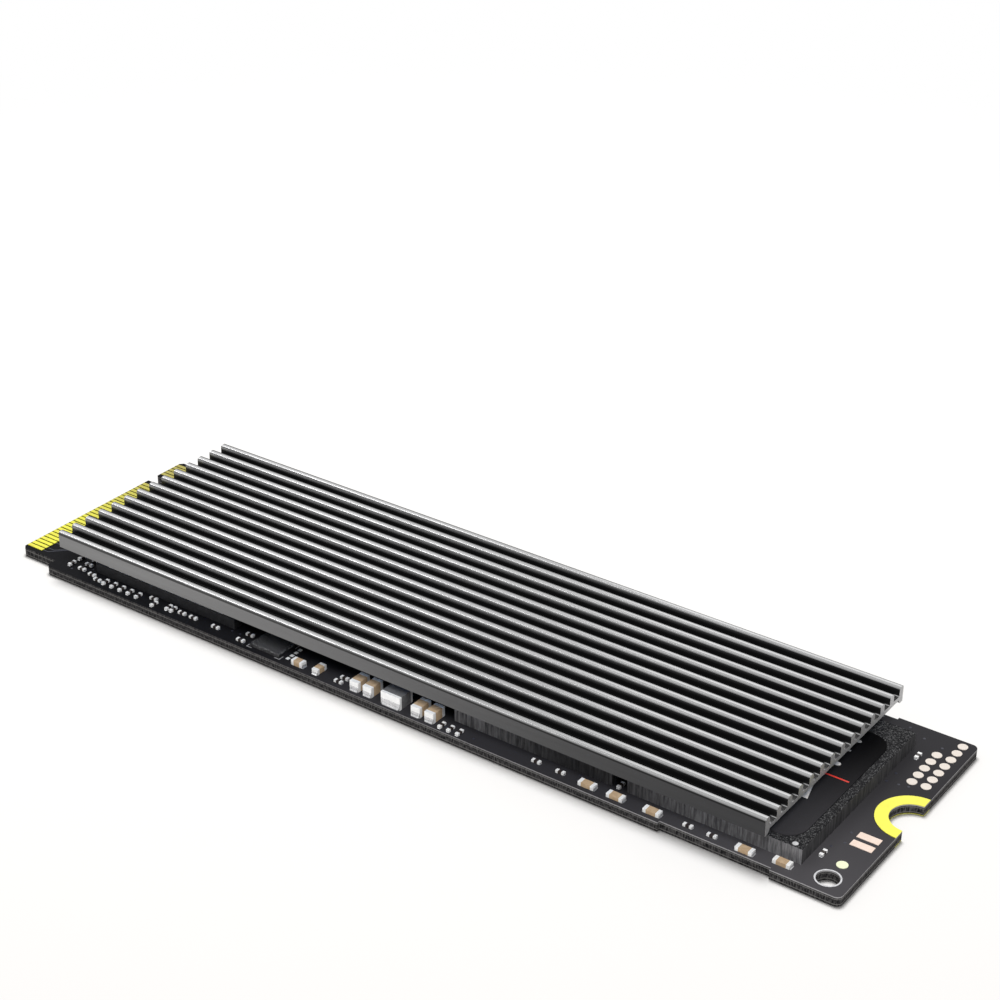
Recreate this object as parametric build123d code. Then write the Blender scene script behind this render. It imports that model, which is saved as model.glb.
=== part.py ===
from build123d import *
from dataclasses import dataclass
import os

# Finned heat sink for an 80 mm solid state drive, with its thermal pad and the drive it cools.
# Millimetres. X runs along the drive from the connector to the screw end, Y across it and Z up.
# The origin is the middle of the circuit board's underside.


@dataclass(frozen=True)
class ChipSize:
    """A chip component: its size, and how far each metal end reaches along it."""

    length: float
    width: float
    height: float
    end: float


@dataclass(frozen=True)
class Row:
    """A straight row of like pieces: its first centre, its count and its steps.

    x and step_x are shares of the length that the row lies along, such as the controller's or the middle
    bay's, or millimetres where it has none. y and step_y are millimetres in from a long edge.
    """

    x: float
    y: float
    count: int = 1
    step_x: float = 0.0
    step_y: float = 0.0


@dataclass(frozen=True)
class SmallChip:
    """A low moulded chip: its plan size, and its centre as in a Row."""

    length: float
    depth: float
    x: float
    y: float


# Circuit board, along its length
TONGUE_LENGTH = 4.0
CONNECTOR_LANE = 4.35
CONTROLLER_LENGTH = 15.7
MIDDLE_BAY = 22.35
MEMORY_LENGTH = 14.2
MEMORY_GAP = 1.3
END_LANE = 3.9

# Circuit board, across it and through it
FRONT_LANE = 1.75
MEMORY_DEPTH = 17.4
BACK_LANE = 2.85
BEHIND_CONTROLLER = 1.7
BOARD_THICKNESS = 0.8
BOARD_CORNER = 0.5
TONGUE_CORNER = 0.3

# Shallow recesses left in the long edges where the board was broken out of its panel: start and length.
# The near one starts just before the controller, the other two at a share of the memory's span.
RECESS_DEPTH = 0.25
BACK_RECESS_NEAR = (-0.8, 5.0)
BACK_RECESS_FAR = (0.6734, 7.0)
FRONT_RECESS = (0.6465, 9.0)

# Edge contacts, shared by both faces
CONTACT_PITCH = 0.5
CONTACT_WIDTH = 0.36
CONTACT_LENGTH = 1.75
CONTACT_SETBACK = 0.08
CONTACT_THICKNESS = 0.05
CONTACT_MARGIN = 0.675
CONTACTS_MAIN = 29
CONTACTS_KEYED_OUT = 4
CONTACTS_BEYOND_KEY = 5
KEY_WIDTH = 1.2
KEY_DEPTH = 3.5

# Screw half-hole, its ring, and the two tooling holes
SCREW_RADIUS = 1.75
RING_WIDTH = 1.0
TOOLING_RADIUS = 0.85
TOOLING_RIM = 0.12
TOOLING_NEAR = (5.7, 1.8)
TOOLING_FAR = (1.7, 1.5)

# Packages on the board
PACKAGE_HEIGHT = 1.35
SUBSTRATE_HEIGHT = 0.9
CONTROLLER_DEPTH = 15.7
LID_INSET = 0.1
LID_CORNER = 1.3
PACKAGE_CHAMFER = 0.1
DRAM_LENGTH = 10.0
DRAM_DEPTH = 12.4
DRAM_HEIGHT = 1.0
DRAM_FRONT_INSET = 1.65
SMALL_CHIP_HEIGHT = 0.3

# Label over the packages
LABEL_THICKNESS = 0.1
LABEL_SIDE_INSET = 0.48
LABEL_NEAR_INSET = 0.15
LABEL_FAR_INSET = 0.7
LABEL_CORNER = 1.6

# Small chips, along the middle bay apart from the corner chip, which stands at the controller's near end
POWER_CHIP = SmallChip(3.1, 2.1, x=0.1879, y=1.65)
CORNER_CHIP = SmallChip(2.0, 1.6, x=0.0191, y=1.6)
REGULATOR_CHIP = SmallChip(3.2, 1.7, x=0.472, y=2.3)
SWITCH_CHIP = SmallChip(2.0, 2.2, x=0.6465, y=2.0)
SENSE_CHIP = SmallChip(1.7, 2.0, x=0.8166, y=2.0)

# Chip components
TINY = ChipSize(length=0.74, width=0.3, height=0.2, end=0.22)
SMALL = ChipSize(length=1.1, width=0.58, height=0.45, end=0.26)
LONG = ChipSize(length=1.35, width=0.58, height=0.32, end=0.28)
TALL = ChipSize(length=1.45, width=0.85, height=0.85, end=0.32)
INDUCTOR = ChipSize(length=1.6, width=1.85, height=1.1, end=0.24)

# Tiny capacitors between the contacts and the controller, in millimetres from the controller
LANE_FRONT_ACROSS = (Row(-1.95, 6.1, 4, step_y=1.39), Row(-2.7, 1.5, 2, step_y=1.15))
LANE_FRONT_ALONG = (Row(-1.3, 1.3, 3, step_y=0.83),)
LANE_BACK_ALONG = (Row(-3.35, 6.9, 4, step_x=0.28, step_y=-0.95),)

# Tiny capacitors in the front lane, along the controller and the middle bay. The one row that nearly
# touches the controller is measured out from its front face.
FRONT_CONTROLLER_ACROSS = (Row(0.121, 0.9, 5, step_x=0.0605), Row(0.4904, 0.7),
                           Row(0.5796, 1.0, 2, step_x=0.0318))
FRONT_CONTROLLER_ALONG = (Row(0.0064, 1.1, 2, step_x=0.0637, step_y=-0.35),
                          Row(0.6752, 1.0, 2, step_x=0.0796), Row(0.9108, 1.0))
FRONT_FACE_ALONG = (Row(0.4522, -0.45),)
FRONT_BAY_ALONG = (Row(0.0716, 0.7), Row(0.0761, 1.75), Row(0.5302, 0.65, 2, step_x=0.0045, step_y=0.65))
FRONT_BAY_ACROSS = (Row(0.9843, 0.6, 3, step_x=0.0371),)

# Tiny capacitors in the front lane beside the memory, one of them between the two packages
FRONT_MEMORY_ALONG = (Row(0.2732, 0.95), Row(0.3469, 0.88), Row(0.7134, 0.85, 2, step_x=0.0658))
FRONT_MEMORY_ACROSS = (Row(0.497, 2.1),)

# Tiny capacitors in the back lane, along the controller and the memory
BACK_CONTROLLER_ACROSS = (Row(0.1338, 1.65, 2, step_x=0.0382), Row(0.3376, 1.65, 4, step_x=0.0369),
                          Row(0.5159, 1.65, 3, step_x=0.0369), Row(0.6624, 1.65, 2, step_x=0.0382))
BACK_CONTROLLER_ALONG = (Row(0.2611, 1.25, 2, step_x=0.0096, step_y=0.8), Row(0.3439, 3.2, 3, step_x=0.086),
                         Row(0.6306, 3.15))
BACK_MEMORY_ALONG = (Row(0.1145, 0.6),)

# Tiny capacitors in the end lane
END_BACK_ACROSS = (Row(0.1923, 3.85),)
END_FRONT_ACROSS = (Row(0.1667, 3.7),)

# Larger capacitors and the inductor, along the middle bay or the memory in the front lane
TAN_ALONG = (Row(0.3445, 0.75),)
TAN_ACROSS = (Row(0.4295, 1.0),)
MEMORY_ROW_ALONG = (Row(0.4306, 0.7, 2, step_x=0.0825), Row(0.6169, 0.72), Row(0.8701, 0.75),
                    Row(0.9645, 1.05))
TALL_ACROSS = (Row(0.6085, 1.15, 2, step_x=0.0582), Row(0.877, 1.15, 2, step_x=0.0582))
INDUCTOR_ACROSS = (Row(0.7718, 1.15),)

# Bare pads
PAD_FILM = 0.04
TEST_PAD_RADIUS = 0.39
TEST_PAD_PITCH = 1.03
TEST_PAD_ROWS = (Row(-0.2564, 0.75, 7, step_y=TEST_PAD_PITCH), Row(-0.5385, 2.86, 5, step_y=TEST_PAD_PITCH))
JUMPER_PAD = (1.7, 0.68)
JUMPER_ROWS = (Row(-0.3718, 6.05, 2, step_y=1.06),)
FIDUCIAL_RADIUS = 0.42
FIDUCIAL_NEAR = (Row(4.15, 2.6),)
FIDUCIAL_FAR = (Row(-0.4103, 3.37),)
DOT_RADIUS = 0.18
DOT_SIDES = 16
DOTS_BESIDE_CONTROLLER = (Row(0.7643, 1.0, 6, step_x=0.0459, step_y=0.05),
                          Row(0.7898, 1.7, 5, step_x=0.0459, step_y=0.05))
DOTS_IN_BAY = (Row(0.574, 0.9, 4, step_y=0.62), Row(0.7494, 1.0, 4, step_y=0.62),
               Row(0.8926, 0.95, 3, step_x=0.0313, step_y=0.08),
               Row(0.9016, 1.8, 3, step_x=0.0268, step_y=0.05))
SQUARE_DOT = 0.29
SQUARE_DOT_ROWS = (Row(0.2864, 0.95, 4, step_y=0.5),)

# Thermal pad and heat sink
PAD_LENGTH = 67.3
PAD_THICKNESS = 0.9
PAD_CORNER = 0.18
PAD_CLEARANCE = 0.13
STACK_SHIFT = 0.45
SINK_LENGTH = 68.4
SINK_WIDTH = 20.8
FIN_COUNT = 14
FIN_THICKNESS = 0.62
FIN_HEIGHT = 0.76
SIDE_WALL = 0.62
SINK_BASE = 0.34
LIP_DEPTH = 0.35
LIP_CHAMFER = 0.22
FIN_TIP_RADIUS = 0.22
FIN_ROOT_RADIUS = 0.1

# Places that follow from the sizes above
BOARD_LENGTH = (TONGUE_LENGTH + CONNECTOR_LANE + CONTROLLER_LENGTH + MIDDLE_BAY
                + 2 * MEMORY_LENGTH + MEMORY_GAP + END_LANE)
BOARD_WIDTH = FRONT_LANE + max(MEMORY_DEPTH, CONTROLLER_DEPTH + BEHIND_CONTROLLER) + BACK_LANE
NEAR_END = -BOARD_LENGTH / 2
FAR_END = BOARD_LENGTH / 2
FRONT = -BOARD_WIDTH / 2
BACK = BOARD_WIDTH / 2
TOP = BOARD_THICKNESS

CONTROLLER_NEAR = NEAR_END + TONGUE_LENGTH + CONNECTOR_LANE
BAY_NEAR = CONTROLLER_NEAR + CONTROLLER_LENGTH
MEMORY_NEAR = BAY_NEAR + MIDDLE_BAY
MEMORY_SECOND = MEMORY_NEAR + MEMORY_LENGTH + MEMORY_GAP
MEMORY_FAR = MEMORY_SECOND + MEMORY_LENGTH
MEMORY_SPAN = MEMORY_FAR - MEMORY_NEAR
PACKAGE_FRONT = FRONT + FRONT_LANE
PACKAGE_TOP = TOP + PACKAGE_HEIGHT
LABEL_TOP = PACKAGE_TOP + LABEL_THICKNESS
PAD_TOP = LABEL_TOP + PAD_THICKNESS
PAD_WIDTH = SINK_WIDTH - 2 * (SIDE_WALL + PAD_CLEARANCE)
INNER_FINS = FIN_COUNT - 2
GROOVE_WIDTH = (SINK_WIDTH - 2 * SIDE_WALL - INNER_FINS * FIN_THICKNESS) / (INNER_FINS + 1)
FIN_TOP = SINK_BASE + FIN_HEIGHT

CONTACT_PLACES = CONTACTS_MAIN + CONTACTS_KEYED_OUT + CONTACTS_BEYOND_KEY
TONGUE_WIDTH = 2 * CONTACT_MARGIN + (CONTACT_PLACES - 1) * CONTACT_PITCH
FIRST_CONTACT = -TONGUE_WIDTH / 2 + CONTACT_MARGIN
KEY_CENTRE = FIRST_CONTACT + CONTACT_PITCH * (CONTACTS_MAIN + CONTACTS_KEYED_OUT / 2 - 0.25)


def block(length, width, height, x, y, z):
    """A box centred on x and y that stands on z."""
    return Pos(x, y, z + height / 2) * Box(length, width, height)


def disc(radius, height, x, y, z):
    """A round pad centred on x and y that stands on z."""
    return Pos(x, y, z + height / 2) * Cylinder(radius, height)


def group(solids):
    """Several separate solids that share one node."""
    return Compound([shape.solid() for shape in solids])


def places(datum, unit, edge, rows):
    """Centres of the pieces in some rows: X from a datum in shares of a length, Y inwards from an edge."""
    inward = 1 if edge < 0 else -1
    return [(datum + unit * (row.x + row.step_x * i), edge + inward * (row.y + row.step_y * i))
            for row in rows for i in range(row.count)]


def along_controller(edge, rows):
    """Centres of pieces beside the controller."""
    return places(CONTROLLER_NEAR, CONTROLLER_LENGTH, edge, rows)


def along_bay(edge, rows):
    """Centres of pieces beside the middle bay."""
    return places(BAY_NEAR, MIDDLE_BAY, edge, rows)


def along_memory(edge, rows):
    """Centres of pieces beside the two memory packages."""
    return places(MEMORY_NEAR, MEMORY_SPAN, edge, rows)


def along_end(edge, rows):
    """Centres of pieces between the memory and the screw end."""
    return places(MEMORY_FAR, END_LANE, edge, rows)


def edge_recess(start, length, side):
    """The strip that a break-out recess takes off one long edge."""
    return Pos(start + length / 2, side) * Rectangle(length, 2 * RECESS_DEPTH)


def screw_hole_sketch(radius):
    """A disc on the screw's axis, which lies on the board's far edge."""
    return Pos(FAR_END, 0) * Circle(radius)


def tooling_places():
    """Centres of the two tooling holes, near the connector at the back and at the far front corner."""
    near = (NEAR_END + TOOLING_NEAR[0], BACK - TOOLING_NEAR[1])
    far = (FAR_END - TOOLING_FAR[0], FRONT + TOOLING_FAR[1])
    return [near, far]


def board_outline():
    """The board seen from above: wide body, connector tongue, key, screw half-hole and recesses."""
    body_length = BOARD_LENGTH - TONGUE_LENGTH
    body = Pos(FAR_END - body_length / 2, 0) * RectangleRounded(body_length, BOARD_WIDTH, BOARD_CORNER)
    tongue_reach = TONGUE_LENGTH + 2 * BOARD_CORNER
    tongue = Rectangle(tongue_reach, TONGUE_WIDTH)
    tongue = chamfer(tongue.vertices().group_by(Axis.X)[0], TONGUE_CORNER)
    outline = body + Pos(NEAR_END + tongue_reach / 2, 0) * tongue
    key_straight = KEY_DEPTH - KEY_WIDTH / 2
    outline -= Pos(NEAR_END + key_straight / 2, KEY_CENTRE) * Rectangle(key_straight, KEY_WIDTH)
    outline -= Pos(NEAR_END + key_straight, KEY_CENTRE) * Circle(KEY_WIDTH / 2)
    outline -= screw_hole_sketch(SCREW_RADIUS)
    for x, y in tooling_places():
        outline -= Pos(x, y) * Circle(TOOLING_RADIUS)
    outline -= edge_recess(MEMORY_NEAR + FRONT_RECESS[0] * MEMORY_SPAN, FRONT_RECESS[1], FRONT)
    outline -= edge_recess(CONTROLLER_NEAR + BACK_RECESS_NEAR[0], BACK_RECESS_NEAR[1], BACK)
    outline -= edge_recess(MEMORY_NEAR + BACK_RECESS_FAR[0] * MEMORY_SPAN, BACK_RECESS_FAR[1], BACK)
    return outline


def circuit_board():
    """The board, with shallow pockets underneath that hold the lower contacts and ring flush."""
    board = extrude(board_outline(), BOARD_THICKNESS)
    for y in contact_rows(upper=False):
        board -= contact(y, 0)
    board -= mount_ring(0)
    return board


def contact_rows(upper):
    """Y of every contact on one face: the main block, then those beyond the key."""
    first = FIRST_CONTACT + (0 if upper else CONTACT_PITCH / 2)
    beyond = CONTACTS_BEYOND_KEY if upper else CONTACTS_BEYOND_KEY - 1
    skip = CONTACTS_MAIN + CONTACTS_KEYED_OUT
    places = list(range(CONTACTS_MAIN)) + list(range(skip, skip + beyond))
    return [first + CONTACT_PITCH * place for place in places]


def contact(y, z):
    """One gold finger that stands on z."""
    x = NEAR_END + CONTACT_SETBACK + CONTACT_LENGTH / 2
    return block(CONTACT_LENGTH, CONTACT_WIDTH, CONTACT_THICKNESS, x, y, z)


def contacts(upper, beyond_key):
    """One block of fingers on one face."""
    z = TOP if upper else 0
    return group([contact(y, z) for y in contact_rows(upper) if (y > KEY_CENTRE) == beyond_key])


def mount_ring(z):
    """The half ring of plated copper round the screw half-hole."""
    ring = screw_hole_sketch(SCREW_RADIUS + RING_WIDTH) - screw_hole_sketch(SCREW_RADIUS)
    reach = SCREW_RADIUS + RING_WIDTH
    ring &= Pos(FAR_END - reach / 2, 0) * Rectangle(reach, 2 * reach)
    return Pos(0, 0, z) * extrude(ring, CONTACT_THICKNESS)


def tooling_rims():
    """Bright rings on the board round the two tooling holes."""
    rims = []
    for x, y in tooling_places():
        rim = Circle(TOOLING_RADIUS + TOOLING_RIM) - Circle(TOOLING_RADIUS)
        rims.append(Pos(x, y, TOP) * extrude(rim, PAD_FILM))
    return group(rims)


def package(length, depth, height, near, front):
    """A moulded memory package with lightly bevelled upper edges."""
    body = block(length, depth, height, near + length / 2, front + depth / 2, TOP)
    return chamfer(body.faces().sort_by(Axis.Z)[-1].edges(), min(PACKAGE_CHAMFER, height / 4))


def controller_substrate():
    """The laminate that the controller's metal lid sits on."""
    x = CONTROLLER_NEAR + CONTROLLER_LENGTH / 2
    y = PACKAGE_FRONT + CONTROLLER_DEPTH / 2
    return block(CONTROLLER_LENGTH, CONTROLLER_DEPTH, SUBSTRATE_HEIGHT, x, y, TOP)


def controller_lid():
    """The controller's plated lid, with its corners cut back."""
    plate = Rectangle(CONTROLLER_LENGTH - 2 * LID_INSET, CONTROLLER_DEPTH - 2 * LID_INSET)
    plate = chamfer(plate.vertices(), LID_CORNER)
    thickness = PACKAGE_HEIGHT - SUBSTRATE_HEIGHT
    lid = extrude(plate, thickness)
    lid = chamfer(lid.faces().sort_by(Axis.Z)[-1].edges(), min(PACKAGE_CHAMFER / 2, thickness / 4))
    x = CONTROLLER_NEAR + CONTROLLER_LENGTH / 2
    y = PACKAGE_FRONT + CONTROLLER_DEPTH / 2
    return Pos(x, y, TOP + SUBSTRATE_HEIGHT) * lid


def dram_chip():
    """The cache memory, hidden under the middle of the label."""
    near = BAY_NEAR + (MIDDLE_BAY - DRAM_LENGTH) / 2
    return package(DRAM_LENGTH, DRAM_DEPTH, DRAM_HEIGHT, near, PACKAGE_FRONT + DRAM_FRONT_INSET)


def label():
    """The black film that lies across the controller, the cache memory and both memory packages."""
    near = CONTROLLER_NEAR + LABEL_NEAR_INSET
    far = MEMORY_FAR - LABEL_FAR_INSET
    width = CONTROLLER_DEPTH - 2 * LABEL_SIDE_INSET
    film = extrude(RectangleRounded(far - near, width, LABEL_CORNER), LABEL_THICKNESS)
    return Pos((near + far) / 2, PACKAGE_FRONT + CONTROLLER_DEPTH / 2, PACKAGE_TOP) * film


def small_chip(chip, beside, edge):
    """A low moulded chip on the board, beside the controller or the middle bay."""
    [(x, y)] = beside(edge, (Row(chip.x, chip.y),))
    return package(chip.length, chip.depth, SMALL_CHIP_HEIGHT, x - chip.length / 2, y - chip.depth / 2)


def chip_bodies(kind, along, across):
    """Ceramic middles of chip components: those that lie along X, then those that lie across it."""
    middle = kind.length - 2 * kind.end
    solids = [block(middle, kind.width, kind.height, x, y, TOP) for x, y in along]
    solids += [block(kind.width, middle, kind.height, x, y, TOP) for x, y in across]
    return group(solids)


def chip_ends(kind, along, across):
    """The metal ends of the same components, two to each."""
    offset = (kind.length - kind.end) / 2
    solids = []
    for side in (-offset, offset):
        solids += [block(kind.end, kind.width, kind.height, x + side, y, TOP) for x, y in along]
        solids += [block(kind.width, kind.end, kind.height, x, y + side, TOP) for x, y in across]
    return group(solids)


def connector_lane_places():
    """Tiny capacitors between the contacts and the controller, along X and across it."""
    along = places(CONTROLLER_NEAR, 1, FRONT, LANE_FRONT_ALONG)
    along += places(CONTROLLER_NEAR, 1, BACK, LANE_BACK_ALONG)
    return along, places(CONTROLLER_NEAR, 1, FRONT, LANE_FRONT_ACROSS)


def front_row_places():
    """Tiny capacitors in the front lane, beside the controller, the middle bay and the memory."""
    along = along_controller(FRONT, FRONT_CONTROLLER_ALONG)
    along += along_controller(PACKAGE_FRONT, FRONT_FACE_ALONG) + along_bay(FRONT, FRONT_BAY_ALONG)
    along += along_memory(FRONT, FRONT_MEMORY_ALONG)
    across = along_controller(FRONT, FRONT_CONTROLLER_ACROSS) + along_bay(FRONT, FRONT_BAY_ACROSS)
    return along, across + along_memory(FRONT, FRONT_MEMORY_ACROSS)


def back_row_places():
    """Tiny capacitors in the back lane and between the memory and the screw end."""
    along = along_controller(BACK, BACK_CONTROLLER_ALONG) + along_memory(BACK, BACK_MEMORY_ALONG)
    across = along_controller(BACK, BACK_CONTROLLER_ACROSS)
    return along, across + along_end(BACK, END_BACK_ACROSS) + along_end(FRONT, END_FRONT_ACROSS)


def tan_places():
    """The two small tan capacitors beside the power chip."""
    return along_bay(FRONT, TAN_ALONG), along_bay(FRONT, TAN_ACROSS)


def memory_row_places():
    """The long tan capacitors in the front lane beside the memory packages."""
    return along_memory(FRONT, MEMORY_ROW_ALONG), []


def tall_places():
    """Two pairs of tall capacitors, with the inductor between them."""
    return [], along_bay(FRONT, TALL_ACROSS)


def inductor_places():
    """The inductor between the two pairs of tall capacitors."""
    return [], along_bay(FRONT, INDUCTOR_ACROSS)


def test_pads():
    """Two rows of round test pads at the far back corner."""
    spots = places(FAR_END, END_LANE, BACK, TEST_PAD_ROWS)
    return group([disc(TEST_PAD_RADIUS, PAD_FILM, x, y, TOP) for x, y in spots])


def back_dots():
    """Fields of small round pads along the back lane, each with few sides because they are tiny."""
    spots = along_controller(BACK, DOTS_BESIDE_CONTROLLER) + along_bay(BACK, DOTS_IN_BAY)
    dot = extrude(RegularPolygon(DOT_RADIUS, DOT_SIDES), PAD_FILM)
    return group([Pos(x, y, TOP) * dot for x, y in spots])


def front_dots():
    """Small square pads between the power chip and the tan capacitors."""
    spots = along_bay(FRONT, SQUARE_DOT_ROWS)
    return group([block(SQUARE_DOT, SQUARE_DOT, PAD_FILM, x, y, TOP) for x, y in spots])


def jumper_pads():
    """Two bare rectangular pads beside the screw half-hole."""
    length, width = JUMPER_PAD
    spots = places(FAR_END, END_LANE, FRONT, JUMPER_ROWS)
    return group([block(length, width, PAD_FILM, x, y, TOP) for x, y in spots])


def fiducials():
    """Round alignment marks beside the two tooling holes."""
    spots = places(NEAR_END, 1, BACK, FIDUCIAL_NEAR) + places(FAR_END, END_LANE, FRONT, FIDUCIAL_FAR)
    return group([disc(FIDUCIAL_RADIUS, PAD_FILM, x, y, TOP) for x, y in spots])


def thermal_pad():
    """The soft pad that carries heat from the packages to the heat sink."""
    slab = extrude(RectangleRounded(PAD_LENGTH, PAD_WIDTH, PAD_CORNER), PAD_THICKNESS)
    return Pos(-STACK_SHIFT, 0, LABEL_TOP) * slab


def fin_places():
    """Y of each inner fin, evenly spaced between the two side walls."""
    first = -SINK_WIDTH / 2 + SIDE_WALL + GROOVE_WIDTH + FIN_THICKNESS / 2
    return [first + (GROOVE_WIDTH + FIN_THICKNESS) * i for i in range(INNER_FINS)]


def side_wall(side):
    """One outer wall of the section, which reaches down past the base as a lip with a bevelled foot."""
    bevel = min(LIP_CHAMFER, SIDE_WALL / 2, LIP_DEPTH)
    outer = side * SINK_WIDTH / 2
    inner = outer - side * SIDE_WALL
    foot = inner + side * bevel
    corners = ((outer, FIN_TOP), (inner, FIN_TOP), (inner, bevel - LIP_DEPTH), (foot, -LIP_DEPTH),
               (outer, -LIP_DEPTH))
    return make_face(Polyline(corners, close=True))


def sink_section():
    """The extruded section: base, fins and side walls."""
    section = Pos(0, SINK_BASE / 2) * Rectangle(SINK_WIDTH, SINK_BASE)
    for y in fin_places():
        section += Pos(y, FIN_TOP / 2) * Rectangle(FIN_THICKNESS, FIN_TOP)
    return section + side_wall(-1) + side_wall(1)


def round_fins(section):
    """Rounds the fin tips and the roots of the grooves."""
    tip = min(FIN_TIP_RADIUS, 0.4 * FIN_THICKNESS, 0.4 * SIDE_WALL)
    root = min(FIN_ROOT_RADIUS, 0.4 * GROOVE_WIDTH)
    section = fillet([v for v in section.vertices() if abs(v.Y - FIN_TOP) < 1e-6], tip)
    return fillet([v for v in section.vertices() if abs(v.Y - SINK_BASE) < 1e-6], root)


def heat_sink():
    """The finned extrusion, cut square at both ends and seated on the pad."""
    profile = Plane.YZ * round_fins(sink_section())
    bar = extrude(profile, SINK_LENGTH)
    return Pos(-STACK_SHIFT - SINK_LENGTH / 2, 0, PAD_TOP) * bar


def components():
    """The chip components, as bodies and metal ends by kind and place."""
    groups = {
        "connector_lane": (TINY, connector_lane_places()),
        "front_row": (TINY, front_row_places()),
        "back_row": (TINY, back_row_places()),
        "tan": (SMALL, tan_places()),
        "memory_row": (LONG, memory_row_places()),
        "tall": (TALL, tall_places()),
    }
    nodes = {}
    for name, (kind, (along, across)) in groups.items():
        nodes[name + "_capacitors"] = chip_bodies(kind, along, across)
        nodes[name + "_capacitor_ends"] = chip_ends(kind, along, across)
    nodes["inductor_core"] = chip_bodies(INDUCTOR, *inductor_places())
    nodes["inductor_terminals"] = chip_ends(INDUCTOR, *inductor_places())
    return nodes


def drive():
    """Every piece of the drive by node name."""
    nodes = {
        "circuit_board": circuit_board(),
        "contacts_top_main": contacts(True, False),
        "contacts_top_key": contacts(True, True),
        "contacts_bottom_main": contacts(False, False),
        "contacts_bottom_key": contacts(False, True),
        "mount_ring_top": mount_ring(TOP),
        "mount_ring_bottom": mount_ring(0),
        "tooling_rims": tooling_rims(),
        "controller_substrate": controller_substrate(),
        "controller_lid": controller_lid(),
        "dram_chip": dram_chip(),
        "memory_chip_near": package(MEMORY_LENGTH, MEMORY_DEPTH, PACKAGE_HEIGHT, MEMORY_NEAR, PACKAGE_FRONT),
        "memory_chip_far": package(MEMORY_LENGTH, MEMORY_DEPTH, PACKAGE_HEIGHT, MEMORY_SECOND, PACKAGE_FRONT),
        "power_chip": small_chip(POWER_CHIP, along_bay, FRONT),
        "corner_chip": small_chip(CORNER_CHIP, along_controller, BACK),
        "regulator_chip": small_chip(REGULATOR_CHIP, along_bay, BACK),
        "switch_chip": small_chip(SWITCH_CHIP, along_bay, BACK),
        "sense_chip": small_chip(SENSE_CHIP, along_bay, BACK),
        "drive_label": label(),
        "test_pads": test_pads(),
        "back_dots": back_dots(),
        "front_dots": front_dots(),
        "jumper_pads": jumper_pads(),
        "fiducials": fiducials(),
    }
    nodes.update(components())
    return nodes


def main():
    """Writes every node to its own STEP file."""
    os.makedirs("parts", exist_ok=True)
    nodes = drive()
    nodes["thermal_pad"] = thermal_pad()
    nodes["heat_sink"] = heat_sink()
    for name, shape in nodes.items():
        export_step(shape, "parts/" + name + ".step")


if __name__ == "__main__":
    main()
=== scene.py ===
"""Looks of a finned heat sink, its thermal pad and the solid state drive that it cools.

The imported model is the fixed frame: X runs from the edge connector to the screw end, Y across the drive from
front to back, and Z up. Sizes of the object's pieces are in millimetres, because the pieces are small, and
each mesh is scaled to metres when it is made. The studio's sizes are in metres. Noise scales are in blotches
per millimetre, and a falling soft step has its larger limit first.
"""
import logging
import math
import random
from dataclasses import dataclass
from enum import Enum
from typing import Any, Sequence

import bmesh
import bpy
from mathutils import Matrix, Vector


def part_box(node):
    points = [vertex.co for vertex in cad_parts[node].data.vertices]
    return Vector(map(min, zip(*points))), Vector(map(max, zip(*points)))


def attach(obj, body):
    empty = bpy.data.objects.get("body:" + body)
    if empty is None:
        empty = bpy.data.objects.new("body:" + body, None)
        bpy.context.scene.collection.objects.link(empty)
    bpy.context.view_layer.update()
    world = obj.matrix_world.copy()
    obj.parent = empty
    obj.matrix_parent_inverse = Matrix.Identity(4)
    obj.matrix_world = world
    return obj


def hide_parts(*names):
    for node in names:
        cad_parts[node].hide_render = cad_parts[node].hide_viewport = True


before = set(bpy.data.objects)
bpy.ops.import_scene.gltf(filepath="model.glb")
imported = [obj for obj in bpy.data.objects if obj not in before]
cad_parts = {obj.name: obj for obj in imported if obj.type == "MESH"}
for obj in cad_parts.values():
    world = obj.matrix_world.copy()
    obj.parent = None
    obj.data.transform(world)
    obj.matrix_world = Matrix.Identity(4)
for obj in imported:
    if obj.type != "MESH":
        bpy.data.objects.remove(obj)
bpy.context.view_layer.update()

LOG = logging.getLogger("ssd_heat_sink")
MM = 0.001
WELD_DISTANCE = 1e-6
Point2 = tuple[float, float]
Point3 = tuple[float, float, float]
Colour = tuple[float, float, float]
Span = tuple[float, float]
Bar = tuple[float, float, float, float]
BLACK: Colour = (0.0, 0.0, 0.0)
WHITE: Colour = (1.0, 1.0, 1.0)

# Groups of CAD nodes that are treated alike
SMALL_CHIPS = ("power_chip", "corner_chip", "regulator_chip", "switch_chip", "sense_chip")
MEMORY_CHIPS = ("memory_chip_near", "memory_chip_far")
CAPACITOR_KINDS = ("connector_lane", "front_row", "back_row", "tan", "memory_row", "tall")
TAN_KINDS = ("tan", "memory_row", "tall")


class Body(Enum):
    """The bodies that pieces ride on."""

    DRIVE = "drive"
    PAD = "pad"
    SINK = "sink"


class Slot(Enum):
    """Names of material slots."""

    SINK = "anodised_aluminium"
    PAD = "pad_silicone"
    BOARD = "board_mask"
    LAMINATE = "laminate"
    GOLD = "gold_plate"
    LID = "nickel_lid"
    MOULDING = "moulding"
    LABEL = "label_film"
    TIN = "tin"
    DARK_CERAMIC = "dark_ceramic"
    TAN_CERAMIC = "tan_ceramic"
    FERRITE = "ferrite"
    BARE_PAD = "bare_pad"


class Lights(Enum):
    """What a lamp lights: all but the floor, or the floor alone."""

    OBJECT = "EXCLUDE"
    FLOOR = "INCLUDE"


def node_box(name: str) -> tuple[Vector, Vector]:
    """The lowest and highest corners of a CAD node, in millimetres."""
    low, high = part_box(name)
    return low / MM, high / MM


def opaque(colour: Colour) -> tuple[float, float, float, float]:
    """A colour with full alpha."""
    return (*colour, 1.0)


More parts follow.
